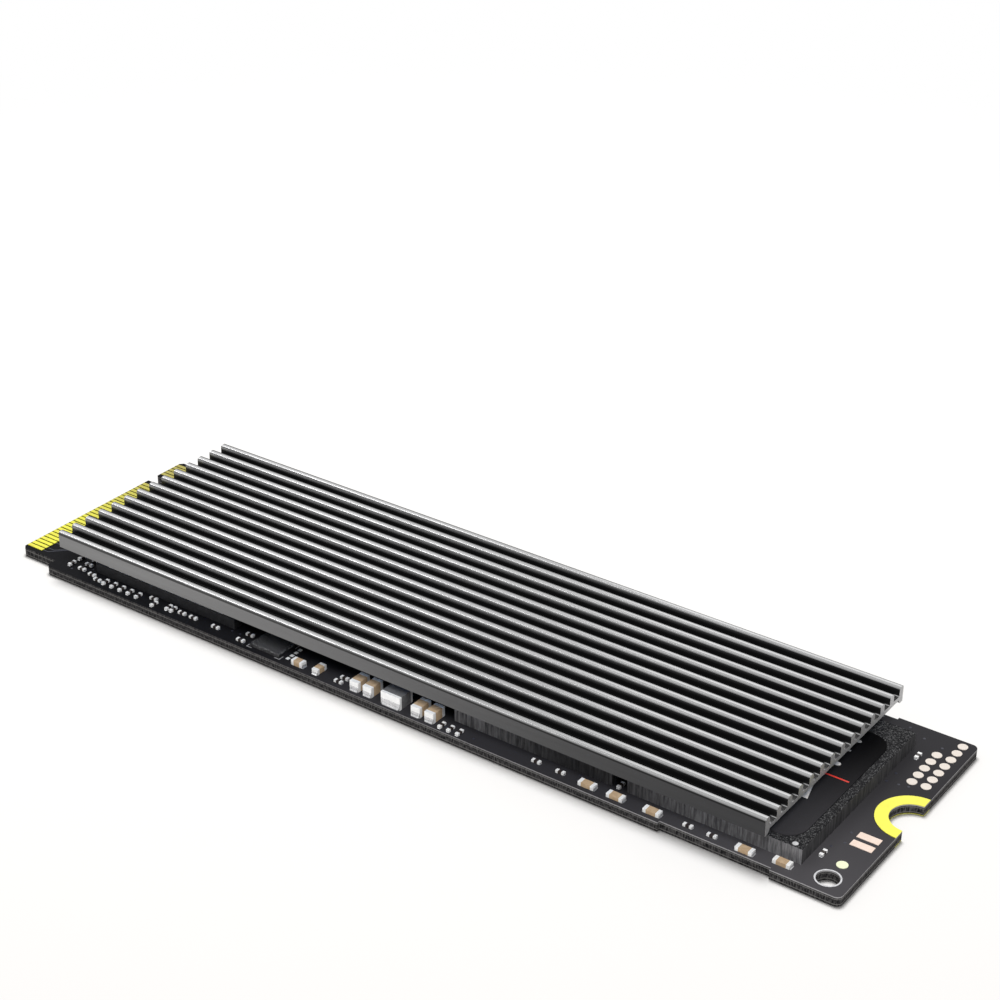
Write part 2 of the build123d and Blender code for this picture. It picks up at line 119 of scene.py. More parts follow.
class Signal:
    """A shader socket that takes part in Python sums: each operator adds one Math node."""

    def __init__(self, graph: "Graph", socket: bpy.types.NodeSocket) -> None:
        """Wraps an output socket of a graph."""
        self.graph = graph
        self.socket = socket

    def maths(self, operation: str, *values: Any) -> "Signal":
        """Adds a Math node.

        Args:
            operation: The node's operation.
            values: Its inputs in order, each a Signal or a number.

        Returns:
            The node's result.
        """
        return self.graph.add("ShaderNodeMath", {"operation": operation}, dict(enumerate(values)))

    def __add__(self, other: Any) -> "Signal":
        """self + other."""
        return self.maths("ADD", self, other)

    def __radd__(self, other: Any) -> "Signal":
        """other + self."""
        return self.maths("ADD", other, self)

    def __sub__(self, other: Any) -> "Signal":
        """self - other."""
        return self.maths("SUBTRACT", self, other)

    def __rsub__(self, other: Any) -> "Signal":
        """other - self."""
        return self.maths("SUBTRACT", other, self)

    def __mul__(self, other: Any) -> "Signal":
        """self * other."""
        return self.maths("MULTIPLY", self, other)

    def __rmul__(self, other: Any) -> "Signal":
        """other * self."""
        return self.maths("MULTIPLY", other, self)

    def __abs__(self) -> "Signal":
        """The size of self."""
        return self.maths("ABSOLUTE", self)

    def at_least(self, other: Any) -> "Signal":
        """The larger of self and other."""
        return self.maths("MAXIMUM", self, other)

    def at_most(self, other: Any) -> "Signal":
        """The smaller of self and other."""
        return self.maths("MINIMUM", self, other)

    def swing(self, reach: float) -> "Signal":
        """A value from 0 to 1 turned into one that swings about 0, by half the reach each way."""
        return (self - 0.5) * reach

    def above(self, low: float, high: float) -> "Signal":
        """A soft step: 0 below low, 1 above high, and smooth between them.

        Args:
            low: Where the step starts.
            high: Where it ends. It is the smaller of the two for a falling step.

        Returns:
            The step, from 0 to 1.
        """
        inputs = {"Value": self, "From Min": low, "From Max": high}
        return self.graph.add("ShaderNodeMapRange", {"interpolation_type": "SMOOTHSTEP"}, inputs)

    def output(self, name: int | str) -> "Signal":
        """Another output of the same node."""
        return Signal(self.graph, self.socket.node.outputs[name])


class Graph:
    """The node tree of one material or world, with short ways to add nodes."""

    def __init__(self, block: "bpy.types.Material | bpy.types.World") -> None:
        """Turns on the nodes of a block and empties its tree.

        Args:
            block: The material or world.
        """
        block.use_nodes = True
        self.tree = block.node_tree
        self.tree.nodes.clear()

    def add(self, kind: str, settings: dict[str, Any] | None = None, inputs: dict[Any, Any] | None = None,
            output: int | str = 0) -> Signal:
        """Adds any node.

        Args:
            kind: The node's type.
            settings: Its own settings, set before its sockets.
            inputs: Socket names or numbers, each with a value or a Signal to link.
            output: The socket to return.

        Returns:
            One of the node's outputs.
        """
        node = self.tree.nodes.new(kind)
        for name, value in (settings or {}).items():
            setattr(node, name, value)
        for name, value in (inputs or {}).items():
            socket = node.inputs[name]
            if isinstance(value, Signal):
                self.tree.links.new(value.socket, socket)
            else:
                socket.default_value = value
        return Signal(self, node.outputs[output] if len(node.outputs) else node.inputs[0])

    def scaled(self, vector: Any, factor: Any) -> Signal:
        """A vector or colour times one factor."""
        return self.add("ShaderNodeVectorMath", {"operation": "SCALE"}, {0: vector, "Scale": factor})

    def stretched(self, vector: Signal, factors: Point3) -> Signal:
        """A vector with each part multiplied."""
        return self.add("ShaderNodeVectorMath", {"operation": "MULTIPLY"}, {0: vector, 1: factors})

    def place(self) -> Signal:
        """The point on the piece, in millimetres of the row frame."""
        return self.scaled(self.add("ShaderNodeTexCoord", output="Object"), 1 / MM)

    def axes(self, vector: Signal) -> tuple[Signal, Signal, Signal]:
        """The three parts of a vector."""
        first = self.add("ShaderNodeSeparateXYZ", inputs={0: vector})
        return first, first.output(1), first.output(2)

    def facing(self) -> tuple[Signal, Signal, Signal]:
        """The three parts of the surface's own normal, in the row frame."""
        return self.axes(self.add("ShaderNodeTexCoord", output="Normal"))

    def noise(self, vector: Signal, scale: float, detail: float = 2.0, roughness: float = 0.5) -> Signal:
        """Noise from 0 to 1."""
        return self.add("ShaderNodeTexNoise", inputs={
            "Vector": vector, "Scale": scale, "Detail": detail, "Roughness": roughness})

    def mix(self, mask: Any, low: Colour | Signal, high: Colour | Signal) -> Signal:
        """A colour that goes from low to high with a mask."""
        pair = [colour if isinstance(colour, Signal) else opaque(colour) for colour in (low, high)]
        return self.add("ShaderNodeMix", {"data_type": "RGBA"}, {0: mask, 6: pair[0], 7: pair[1]}, output=2)

    def bump(self, height: Signal, strength: float, distance: float) -> Signal:
        """A normal from a height of 0 to 1, where distance is the depth of a height of 1 in millimetres."""
        return self.add("ShaderNodeBump", inputs={
            "Strength": strength, "Distance": distance * MM, "Height": height})


@dataclass(frozen=True)
class Finish:
    """A surface finish. Subclasses say how its values vary over the surface."""

    name: str
    colour: Colour
    roughness: float = 0.5
    metallic: float = 0.0
    specular: float = 0.5

    def vary(self, graph: Graph) -> dict[str, Any]:
        """Values or signals for the shader's sockets, in place of the plain ones. None are by default."""
        return {}

    def material(self) -> bpy.types.Material:
        """Makes the finish's material, once, and then shares it.

        Returns:
            The material.
        """
        made = bpy.data.materials.get(self.name)
        if made:
            return made
        made = bpy.data.materials.new(self.name)
        graph = Graph(made)
        shader = graph.add("ShaderNodeBsdfPrincipled", inputs={
            "Base Color": opaque(self.colour), "Roughness": self.roughness, "Metallic": self.metallic,
            "Specular IOR Level": self.specular, **self.vary(graph)})
        graph.add("ShaderNodeOutputMaterial", inputs={"Surface": shader})
        made.diffuse_color = opaque(self.colour)
        return made


SINK_LOW, SINK_HIGH = node_box("heat_sink")
FIN_THICKNESS = 0.62
FIN_GAPS = 13


@dataclass(frozen=True)
class Anodised(Finish):
    """Grey anodised extrusion: painted shade nearly black in its grooves, painted light on top, with bare sawn
    ends.

    The painted sheen colours are those at the connector end, and they fade towards the screw end.
    near_crest and far_crest say how bright the painted highlight along a fin's rounded top is, and the rest
    of its top, at those two ends.
    """

    # painted shade that makes the grooves nearly black, lifted by a painted sheen on their walls at the
    # connector end
    groove_shade: Colour = (0.009, 0.009, 0.0093)
    sheen_groove: Colour = (0.34, 0.34, 0.343)
    far_groove_shade: Colour = (0.018, 0.018, 0.019)
    groove_heights: Span = (SINK_HIGH.z - 0.51, SINK_HIGH.z - 0.15)
    # painted sheen on the outer walls at the connector end
    painted_sheen: Colour = (0.24, 0.24, 0.242)
    # a painted shade line just under the rounded top of each outer wall
    shade_line: Span = (SINK_HIGH.z - 0.33, SINK_HIGH.z - 0.26)
    shade_line_share: float = 0.7
    # painted light on the floors of the grooves at their open ends; further in they take the painted shade
    floor: Colour = (0.34, 0.34, 0.342)
    floor_heights: Span = (SINK_HIGH.z - 0.23, SINK_HIGH.z - 0.53)
    mouth: Span = (SINK_HIGH.x - 0.55, SINK_HIGH.x - 0.25)
    end: Colour = (0.64, 0.64, 0.645)
    outer_face: Span = (SINK_HIGH.y - 0.2, SINK_HIGH.y - 0.1)
    # the painted highlight along the top of each fin, and how bright it and the rest of the top are painted
    crest_highlight: Colour = (1.0, 1.0, 1.005)
    near_crest: tuple[float, float] = (0.74, 0.02)
    far_crest: tuple[float, float] = (0.37, 0.27)
    first_crest: float = SINK_LOW.y + FIN_THICKNESS / 2
    crest_pitch: float = (SINK_HIGH.y - SINK_LOW.y - FIN_THICKNESS) / FIN_GAPS
    crest_front: Span = (-0.30, -0.19)
    crest_back: Span = (0.22, -0.08)
    crest_far_edge: Span = (0.18, 0.26)
    streak_pitch: float = 0.035
    broad_scale: float = 2.2
    saw_scale: float = 14.0
    tint: Colour = (0.12, 0.12, 0.12)

    def vary(self, graph: Graph) -> dict[str, Any]:
        """Draw lines along the extrusion, painted light and highlights on the tops, painted shade and sheen on
        the walls and in the grooves, lighter bare ends, and saw marks on the ends.

        Args:
            graph: The material's node tree.

        Returns:
            What varies, and the tint.
        """
        point = graph.place()
        along, side, height = graph.axes(point)
        endwards, _, up = graph.facing()
        streaks = graph.noise(graph.stretched(point, (0.02, 1.0, 1.0)), 1 / self.streak_pitch, 3.0)
        broad = graph.noise(graph.stretched(point, (0.03, 1.0, 1.0)), self.broad_scale)
        saw = graph.noise(graph.stretched(point, (0.2, 0.35, 1.6)), self.saw_scale, 3.0)
        on_top = up.above(0.2, 0.55)
        on_end = abs(endwards).above(0.7, 0.95)
        outer = abs(side).above(*self.outer_face)
        # the painted sheen's share: 1 at the connector end, 0 at the screw end
        sheen_towards_connector = along.above(SINK_HIGH.x, SINK_LOW.x)
        half_pitch = self.crest_pitch / 2
        from_crest = side.maths("WRAP", side - self.first_crest, half_pitch, -half_pitch)
        # walls of the grooves: painted shade low down, lighter higher up, with a painted sheen towards the
        # connector end
        rise = height.above(*self.groove_heights)
        groove_shade = graph.mix(rise * rise, self.groove_shade, graph.mix(sheen_towards_connector, self.far_groove_shade, self.sheen_groove))
        wall = graph.mix(outer, groove_shade, graph.mix(sheen_towards_connector, self.colour, self.painted_sheen))
        # a painted shade line under the rounded top of each outer wall
        wall = graph.mix(height.above(*self.shade_line) * outer * self.shade_line_share, wall, self.groove_shade)
        # floors of the grooves: painted light at their open ends, painted shade further in
        floor = graph.mix(along.above(*self.mouth), groove_shade, self.floor)
        # fin tops: painted light, with a painted highlight along each fin
        top = graph.mix(height.above(*self.floor_heights), self._crests(graph, from_crest, sheen_towards_connector), floor)
        colour = graph.mix(on_end, graph.mix(on_top, wall, top), self.end)
        # the back edge of each fin's top loses its metal towards the connector end, a painted shade line
        far_edge_shade = from_crest.above(*self.crest_far_edge) * on_top * sheen_towards_connector
        # inner walls lose most of their metal, so their painted shade and sheen show
        inner = (1 - on_top) * (1 - on_end) * (1 - outer)
        return {
            "Base Color": graph.scaled(colour, streaks.swing(0.16) + broad.swing(0.22) + 1.0),
            "Roughness": self.roughness + streaks.swing(0.12) - on_top * 0.06 + on_end * 0.1,
            "Metallic": (1 - far_edge_shade) * (1 - inner * 0.8) * self.metallic,
            "Specular Tint": opaque(self.tint),
            "Normal": graph.bump(streaks * (1 - on_end) + saw * on_end, 0.35, 0.006)}

    def _crests(self, graph: Graph, from_crest: Signal, sheen_towards_connector: Signal) -> Signal:
        """The painted highlight along the top of each fin, sharp at the connector end and even at the other.

        Args:
            graph: The node tree being built.
            from_crest: Place across the nearest fin, from its middle, in millimetres.
            sheen_towards_connector: The painted sheen's share, 1 at the connector end, 0 at the screw end.

        Returns:
            The colour of the fin tops: painted light, with the painted highlight.
        """
        line = from_crest.above(*self.crest_front) * from_crest.above(*self.crest_back)
        bright, plain = ((near - far) * sheen_towards_connector + far for near, far in zip(self.near_crest, self.far_crest))
        return graph.mix(plain + (bright - plain) * line, BLACK, self.crest_highlight)


@dataclass(frozen=True)
class Silicone(Finish):
    """Soft filled silicone: nearly matt, with a very fine grain, and a little light passing through."""

    shade: Colour = (0.285, 0.49, 0.87)
    # painted shade on the pad's sides
    side: Colour = (0.30, 0.47, 0.74)
    # a painted highlight on the rounded rim
    rim: Colour = (0.50, 0.70, 1.0)
    rim_highlight_share: float = 0.8
    cloud_scale: float = 0.16
    grain_scale: float = 9.0
    dimple_scale: float = 1.1
    light_share: float = 0.12
    light_depth: float = 0.4

    def vary(self, graph: Graph) -> dict[str, Any]:
        """Cloudy tone, fine grain, a painted highlight on the rounded rim, painted shade on the sides and a
        slightly glossier skin in patches.

        Args:
            graph: The material's node tree.

        Returns:
            What varies, and how light passes through.
        """
        point = graph.place()
        cloud = graph.noise(point, self.cloud_scale, 3.0)
        grain = graph.noise(point, self.grain_scale)
        dimples = graph.noise(point, self.dimple_scale)
        _, _, up = graph.facing()
        # where the painted highlight on the rounded rim goes
        rim_highlight_mask = abs(up).above(0.45, 0.7) * abs(up).above(0.99, 0.9)
        face = graph.mix(cloud.above(0.25, 0.8) * 0.5 + grain * 0.12, self.colour, self.shade)
        # painted shade: the sides darker than the faces
        face = graph.mix(abs(up).above(0.4, 0.1), face, self.side)
        return {
            "Base Color": graph.mix(rim_highlight_mask * self.rim_highlight_share, face, self.rim),
            "Roughness": self.roughness + cloud.swing(0.12) + grain.swing(0.1),
            "Normal": graph.bump(grain * 0.35 + dimples, 0.35, 0.02),
            "Subsurface Weight": self.light_share, "Subsurface Radius": (0.3, 0.6, 1.0),
            "Subsurface Scale": self.light_depth * MM}


BOARD_TOP = node_box("circuit_board")[1].z


@dataclass(frozen=True)
class SolderMask(Finish):
    """Black lacquer over laminate and copper, with the glass layers showing at the cut edge."""

    clouded: Colour = (0.020, 0.020, 0.023)
    core: Colour = (0.078, 0.075, 0.075)
    # painted highlight lines across the cut edge
    edge_highlight: Colour = (0.16, 0.155, 0.15)
    edge_highlight_heights: tuple[float, ...] = (0.17, 0.60)
    edge_highlight_width: Span = (0.05, 0.02)
    # a painted highlight on the bevelled upper rim and along the top of the cut edge
    rim_highlight: Colour = (0.40, 0.39, 0.40)
    rim_heights: Span = (BOARD_TOP - 0.11, BOARD_TOP - 0.07)
    rim_line_along: Span = (-30.0, 38.0)
    rim_along: Span = (-20.0, 38.0)
    # a painted sheen on the board's front strip, over the span that follows
    front_sheen: Colour = (0.034, 0.033, 0.037)
    sheen_side: Span = (-8.4, -9.6)
    sheen_along: Span = (-14.0, -2.0)
    # a painted sheen towards the screw end
    screw_end_sheen: Colour = (0.070, 0.067, 0.072)
    screw_end_along: Span = (18.0, 36.0)
    screw_end_side: Span = (4.0, -10.0)
    weave_scale: float = 1.1
    grain_scale: float = 14.0
    cloud_scale: float = 0.35
    fibre_scale: float = 9.0

    def vary(self, graph: Graph) -> dict[str, Any]:
        """A faint weave and grain on the faces, glass fibres and painted highlight lines at the cut edges, a
        painted highlight on the upper rim, and painted sheen on the front strip and towards the screw end.

        Args:
            graph: The material's node tree.

        Returns:
            What varies.
        """
        point = graph.place()
        along, side, height = graph.axes(point)
        _, _, up = graph.facing()
        on_edge = abs(up).above(0.6, 0.3)
        rim_highlight_mask = up.above(0.35, 0.6) * up.above(0.98, 0.85)
        grain = graph.noise(point, self.grain_scale)
        cloud = graph.noise(point, self.cloud_scale)
        fibres = graph.noise(graph.stretched(point, (1.0, 1.0, 0.25)), self.fibre_scale, 3.0)
        weave, weft = (graph.add("ShaderNodeTexWave", {"wave_type": "BANDS", "bands_direction": direction},
                                 {"Vector": point, "Scale": self.weave_scale, "Distortion": 0.4})
                       for direction in "XY")
        edge = graph.mix(fibres.above(0.35, 0.7), self.colour, self.core)
        # a painted highlight line along the top of the cut edge
        rim_highlight_line = height.above(*self.rim_heights) * along.above(*self.rim_line_along)
        edge = graph.mix(rim_highlight_line * 0.7, edge, self.rim_highlight)
        # painted highlight lines across the cut edge
        for level in self.edge_highlight_heights:
            edge = graph.mix(abs(height - level).above(*self.edge_highlight_width) * 0.7, edge, self.edge_highlight)
        flat = graph.mix(grain * 0.3 + cloud * 0.2, self.colour, self.clouded)
        # a painted sheen on the front strip
        sheen_share = side.above(*self.sheen_side) * along.above(*self.sheen_along) * 0.8
        flat = graph.mix(sheen_share, flat, self.front_sheen)
        # a painted sheen towards the screw end
        screw_end_sheen = along.above(*self.screw_end_along) * (side.above(*self.screw_end_side) * 0.5 + 0.4)
        flat = graph.mix(screw_end_sheen, flat, self.screw_end_sheen)
        # a painted highlight on the bevelled rim
        flat = graph.mix(rim_highlight_mask * along.above(*self.rim_along), flat, self.rim_highlight)
        relief = (weave + weft) * 0.12 + grain * 0.3
        return {
            "Base Color": graph.mix(on_edge, flat, edge),
            "Roughness": self.roughness + grain.swing(0.2) + cloud.swing(0.1) + on_edge * 0.25,
            "Normal": graph.bump(relief * (1 - on_edge) + fibres * on_edge, 0.3, 0.02)}


@dataclass(frozen=True)
class GoldPlate(Finish):
    """Bright gold over copper, with faint wiping lines along the contacts."""

    warm: Colour = (0.66, 0.55, 0.07)
    # painted shade that darkens the plate towards the back
    back_shade: Colour = (0.46, 0.40, 0.08)
    back_shade_side: Span = (-8.0, 10.0)
    wipe_scale: float = 22.0
    patch_scale: float = 1.7

    def vary(self, graph: Graph) -> dict[str, Any]:
        """Warmer patches and fine lines along X, and painted shade that darkens them towards the back.

        Args:
            graph: The material's node tree.

        Returns:
            What varies.
        """
        point = graph.place()
        _, side, _ = graph.axes(point)
        wipe = graph.noise(graph.stretched(point, (0.25, 1.0, 1.0)), self.wipe_scale)
        patch = graph.noise(point, self.patch_scale)
        plate = graph.mix(patch.above(0.4, 0.75) * 0.5 + wipe.swing(0.3), self.colour, self.warm)
        return {
            # painted shade towards the back
            "Base Color": graph.mix(side.above(*self.back_shade_side), plate, self.back_shade),
            "Roughness": self.roughness + wipe.swing(0.2),
            "Normal": graph.bump(wipe, 0.25, 0.006)}


@dataclass(frozen=True)
class PlatedLid(Finish):
    """Satin nickel with a fine rolled grain, darker towards the back."""

    back_darkening: float = 0.42
    back_darkening_side: Span = (0.0, 5.5)
    grain_scale: float = 20.0
    stain_scale: float = 0.9

    def vary(self, graph: Graph) -> dict[str, Any]:
        """Rolled grain along X and slight staining.

        Args:
            graph: The material's node tree.

        Returns:
            What varies.
        """
        point = graph.place()
        _, side, _ = graph.axes(point)
        grain = graph.noise(graph.stretched(point, (0.1, 1.0, 1.0)), self.grain_scale)
        stain = graph.noise(point, self.stain_scale)
        # darker towards the back
        tone = (0.9 + grain * 0.12 + stain * 0.08) * (1 - side.above(*self.back_darkening_side) * self.back_darkening)
        return {
            "Base Color": graph.scaled(self.colour, tone),
            "Roughness": self.roughness + grain.swing(0.16),
            "Normal": graph.bump(grain, 0.3, 0.008)}


@dataclass(frozen=True)
class Moulding(Finish):
    """Dark moulding compound: speckled on top, with sawn streaks down its sides."""

    speck: Colour = (0.19, 0.19, 0.19)
    speck_share: float = 0.6
    speck_steps: Span = (0.50, 0.64)
    streak: Colour = (0.40, 0.395, 0.41)
    darkest_at: float = 17.5
    dark_reach: float = 12.0
    # where a painted sheen lifts the specks: towards the front and the screw end
    sheen_side: Span = (7.0, -8.0)
    sheen_along: Span = (8.0, 34.0)
    grain_scale: float = 10.0
    streak_scale: float = 6.0

    def vary(self, graph: Graph) -> dict[str, Any]:
        """Light filler specks on top, lifted by a painted sheen towards the front and the screw end, and
        upright saw streaks on the sides, paler by place.

        Args:
            graph: The material's node tree.

        Returns:
            What varies.
        """
        point = graph.place()
        along, across, _ = graph.axes(point)
        endwards, _, up = graph.facing()
        on_side = abs(up).above(0.6, 0.2)
        grain = graph.noise(point, self.grain_scale, 2.0, 0.7)
        streaks = graph.noise(graph.stretched(point, (1.0, 1.0, 0.08)), self.streak_scale, 3.0, 0.7)
        # a painted sheen: the specks show more towards the front and the screw end
        painted_sheen = across.above(*self.sheen_side) + along.above(*self.sheen_along)
        sheen_share = painted_sheen.at_most(1.0) * 0.8 + 0.2
        top = graph.mix(grain.above(*self.speck_steps) * self.speck_share * sheen_share, self.colour, self.speck)
        from_darkest = abs(along - self.darkest_at).above(0.0, self.dark_reach)
        paler = from_darkest * (1 - abs(endwards) * 0.85) * 0.85 + 0.15
        side = graph.mix((streaks.above(0.25, 0.75) * 0.5 + 0.1) * paler, self.colour, self.streak)
        return {
            "Base Color": graph.mix(on_side, top, side),
            "Roughness": self.roughness + grain.swing(0.2),
            "Normal": graph.bump(grain * (1 - on_side) + streaks * on_side * 0.5, 0.45, 0.02)}


@dataclass(frozen=True)
class LabelFilm(Finish):
    """Black satin film, with a painted sheen a little paler along its front edge and towards the screw end."""

    # painted sheen: the film's colour at its corners, palest at the front right
    back_left_sheen: Colour = (0.0112, 0.0108, 0.0120)
    back_along: Span = (-30.0, 4.0)
    front_left_sheen: Colour = (0.0148, 0.0143, 0.0158)
    front_right_sheen: Colour = (0.035, 0.034, 0.037)
    front_along: Span = (-18.0, 32.0)
    to_front: Span = (5.6, -8.8)
    grain_scale: float = 18.0
    lift_scale: float = 0.22

    def vary(self, graph: Graph) -> dict[str, Any]:
        """Satin grain, a painted sheen in paler places and soft lifting over what lies under the film.

        Args:
            graph: The material's node tree.

        Returns:
            What varies.
        """
        point = graph.place()
        along, side, _ = graph.axes(point)
        grain = graph.noise(point, self.grain_scale)
        lift = graph.noise(point, self.lift_scale)
        # a painted sheen across the film
        back = graph.mix(along.above(*self.back_along), self.back_left_sheen, self.colour)
        front = graph.mix(along.above(*self.front_along), self.front_left_sheen, self.front_right_sheen)
        film = graph.mix(side.above(*self.to_front), back, front)
        return {
            "Base Color": graph.scaled(film, 0.8 + grain * 0.4),
            "Roughness": self.roughness + grain.swing(0.16) + lift.swing(0.08),
            "Normal": graph.bump(grain * 0.3 + lift, 0.3, 0.03)}


@dataclass(frozen=True)
class Fiducial(Finish):
    """A flat round mark: plain tin near the connector, pale and slightly green near the screw end."""

    pale: Colour = (0.74, 0.77, 0.53)
    pale_along: Span = (-1.0, 1.0)
    grain_scale: float = 12.0

    def vary(self, graph: Graph) -> dict[str, Any]:
        """The two tones by place, with a fine grain.

        Args:
            graph: The material's node tree.

        Returns:
            What varies.
        """
        point = graph.place()
        along, _, _ = graph.axes(point)
        grain = graph.noise(point, self.grain_scale)
        return {
            "Base Color": graph.mix(along.above(*self.pale_along), self.colour, self.pale),
            "Roughness": self.roughness + grain.swing(0.25),
            "Normal": graph.bump(grain, 0.3, 0.008)}


@dataclass(frozen=True)
class Grained(Finish):
    """A small piece with a fine grain of a second colour, such as tin, ceramic, ferrite or a bare pad."""

    second: Colour = (0.5, 0.5, 0.5)
    grain_scale: float = 11.0
    blotch_share: float = 0.3
    grain_depth: float = 0.01

    def vary(self, graph: Graph) -> dict[str, Any]:
        """Blotches of the second colour with a matching bump.

        Args:
            graph: The material's node tree.

        Returns:
            What varies.
        """
        point = graph.place()
        blotch = graph.noise(point, self.grain_scale * self.blotch_share)
        grain = graph.noise(point, self.grain_scale)
        mottle = blotch.above(0.35, 0.7) * 0.6 + grain.swing(0.4)
        return {
            "Base Color": graph.mix(mottle, self.colour, self.second),
            "Roughness": self.roughness + grain.swing(0.25),
            "Normal": graph.bump(grain, 0.4, self.grain_depth)}


SINK_FINISH = Anodised("anodised_grey", (0.055, 0.055, 0.057), roughness=0.30, metallic=0.9)
PAD_FINISH = Silicone("blue_silicone", (0.335, 0.563, 0.975), roughness=0.50, specular=0.2)
BOARD_FINISH = SolderMask("black_solder_mask", (0.006, 0.006, 0.007), roughness=0.42, specular=0.02)
TRACE_FINISH = Grained("mask_over_copper", (0.020, 0.021, 0.033), roughness=0.38, specular=0.25,
                       second=(0.030, 0.031, 0.046))
INK_FINISH = Grained("silkscreen_ink", (0.55, 0.55, 0.56), roughness=0.6, second=(0.35, 0.35, 0.36))
FAINT_INK_FINISH = Grained("faint_ink", (0.28, 0.28, 0.285), roughness=0.6, second=(0.12, 0.12, 0.125))
GOLD_FINISH = GoldPlate("gold_over_copper", (0.98, 0.95, 0.06), roughness=0.34, metallic=0.45)
RING_FINISH = GoldPlate("ring_gold", (0.74, 0.72, 0.06), roughness=0.34, metallic=0.45,
                        warm=(0.64, 0.58, 0.06), back_shade=(0.68, 0.64, 0.06))
LAMINATE_FINISH = Grained("package_laminate", (0.018, 0.018, 0.020), roughness=0.55, specular=0.2,
                          second=(0.035, 0.035, 0.037))
LID_FINISH = PlatedLid("satin_nickel", (0.66, 0.66, 0.68), roughness=0.36, metallic=0.85)
DULL_LID_FINISH = PlatedLid("dull_nickel", (0.52, 0.515, 0.53), roughness=0.42, metallic=0.75, back_darkening=0.3)
PACKAGE_FINISH = Moulding("moulding_compound", (0.011, 0.011, 0.012), roughness=0.55, specular=0.03,
                          speck=(0.145, 0.145, 0.147), speck_share=0.75)
CHIP_FINISH = Moulding("chip_compound", (0.008, 0.008, 0.009), roughness=0.5, specular=0.04,
                       speck=(0.24, 0.24, 0.245), speck_share=1.0, streak=(0.15, 0.15, 0.153))
CORNER_CHIP_FINISH = Moulding("corner_chip_compound", (0.006, 0.006, 0.007), roughness=0.5, specular=0.02,
                              speck=(0.10, 0.10, 0.10), speck_share=0.35)
LABEL_FINISH = LabelFilm("black_label_film", (0.0030, 0.0029, 0.0032), roughness=0.44, specular=0.012)
RULE_FINISH = Grained("red_print", (0.66, 0.045, 0.030), roughness=0.45, specular=0.3,
                      second=(0.56, 0.035, 0.025))
FIELD_FINISH = Grained("white_print", (0.80, 0.77, 0.74), roughness=0.45, specular=0.3,
                       second=(0.72, 0.69, 0.66))
SMALL_FIELD_FINISH = Grained("grey_print", (0.43, 0.42, 0.41), roughness=0.45, specular=0.2,
                             second=(0.35, 0.34, 0.33))
TIN_FINISH = Grained("bright_tin", (0.92, 0.92, 0.91), roughness=0.34, metallic=0.15,
                     second=(0.84, 0.84, 0.84))
RIM_FINISH = Grained("rim_tin", (0.42, 0.42, 0.43), roughness=0.3, metallic=0.8, second=(0.25, 0.25, 0.26))
SOLDER_FINISH = Grained("solder", (0.66, 0.66, 0.67), roughness=0.3, metallic=0.7, second=(0.46, 0.46, 0.47))
DARK_CERAMIC_FINISH = Grained("dark_fired_ceramic", (0.022, 0.016, 0.015), roughness=0.4,
                              second=(0.045, 0.035, 0.03))
TAN_CERAMIC_FINISH = Grained("tan_fired_ceramic", (0.44, 0.31, 0.19), roughness=0.5, specular=0.25,
                             second=(0.54, 0.41, 0.27))
FERRITE_FINISH = Grained("grey_ferrite", (0.11, 0.11, 0.113), roughness=0.6, specular=0.2,
                         second=(0.17, 0.17, 0.173))
BARE_PAD_FINISH = Grained("bare_copper_pad", (0.72, 0.65, 0.58), roughness=0.45, metallic=0.1,
                          second=(0.78, 0.71, 0.65))
JUMPER_FINISH = Grained("jumper_copper", (0.78, 0.62, 0.52), roughness=0.42, metallic=0.2,
                        second=(0.82, 0.68, 0.60))
FIDUCIAL_FINISH = Fiducial("fiducial_tin", (0.45, 0.45, 0.44), roughness=0.4, metallic=0.3)


# Forms that small pieces share. A fillet's hollow face runs from its toe up the metal end, as shares of its
# reach and height, with its width there as a share. Edges that turn by more than BEVELLED_FROM degrees get
# the bevel
DISC_SHOULDER = 0.6
DISC_TOP = 0.93
SHARPEST_MITRE = 0.5
FILLET_SUNK = 0.02
FILLET_FACE = ((1.0, 0.0, 0.8), (0.95, 0.08, 0.8), (0.4, 0.32, 0.9), (0.12, 1.0, 1.0))
BEVEL_SEGMENTS = 2
BEVELLED_FROM = 50


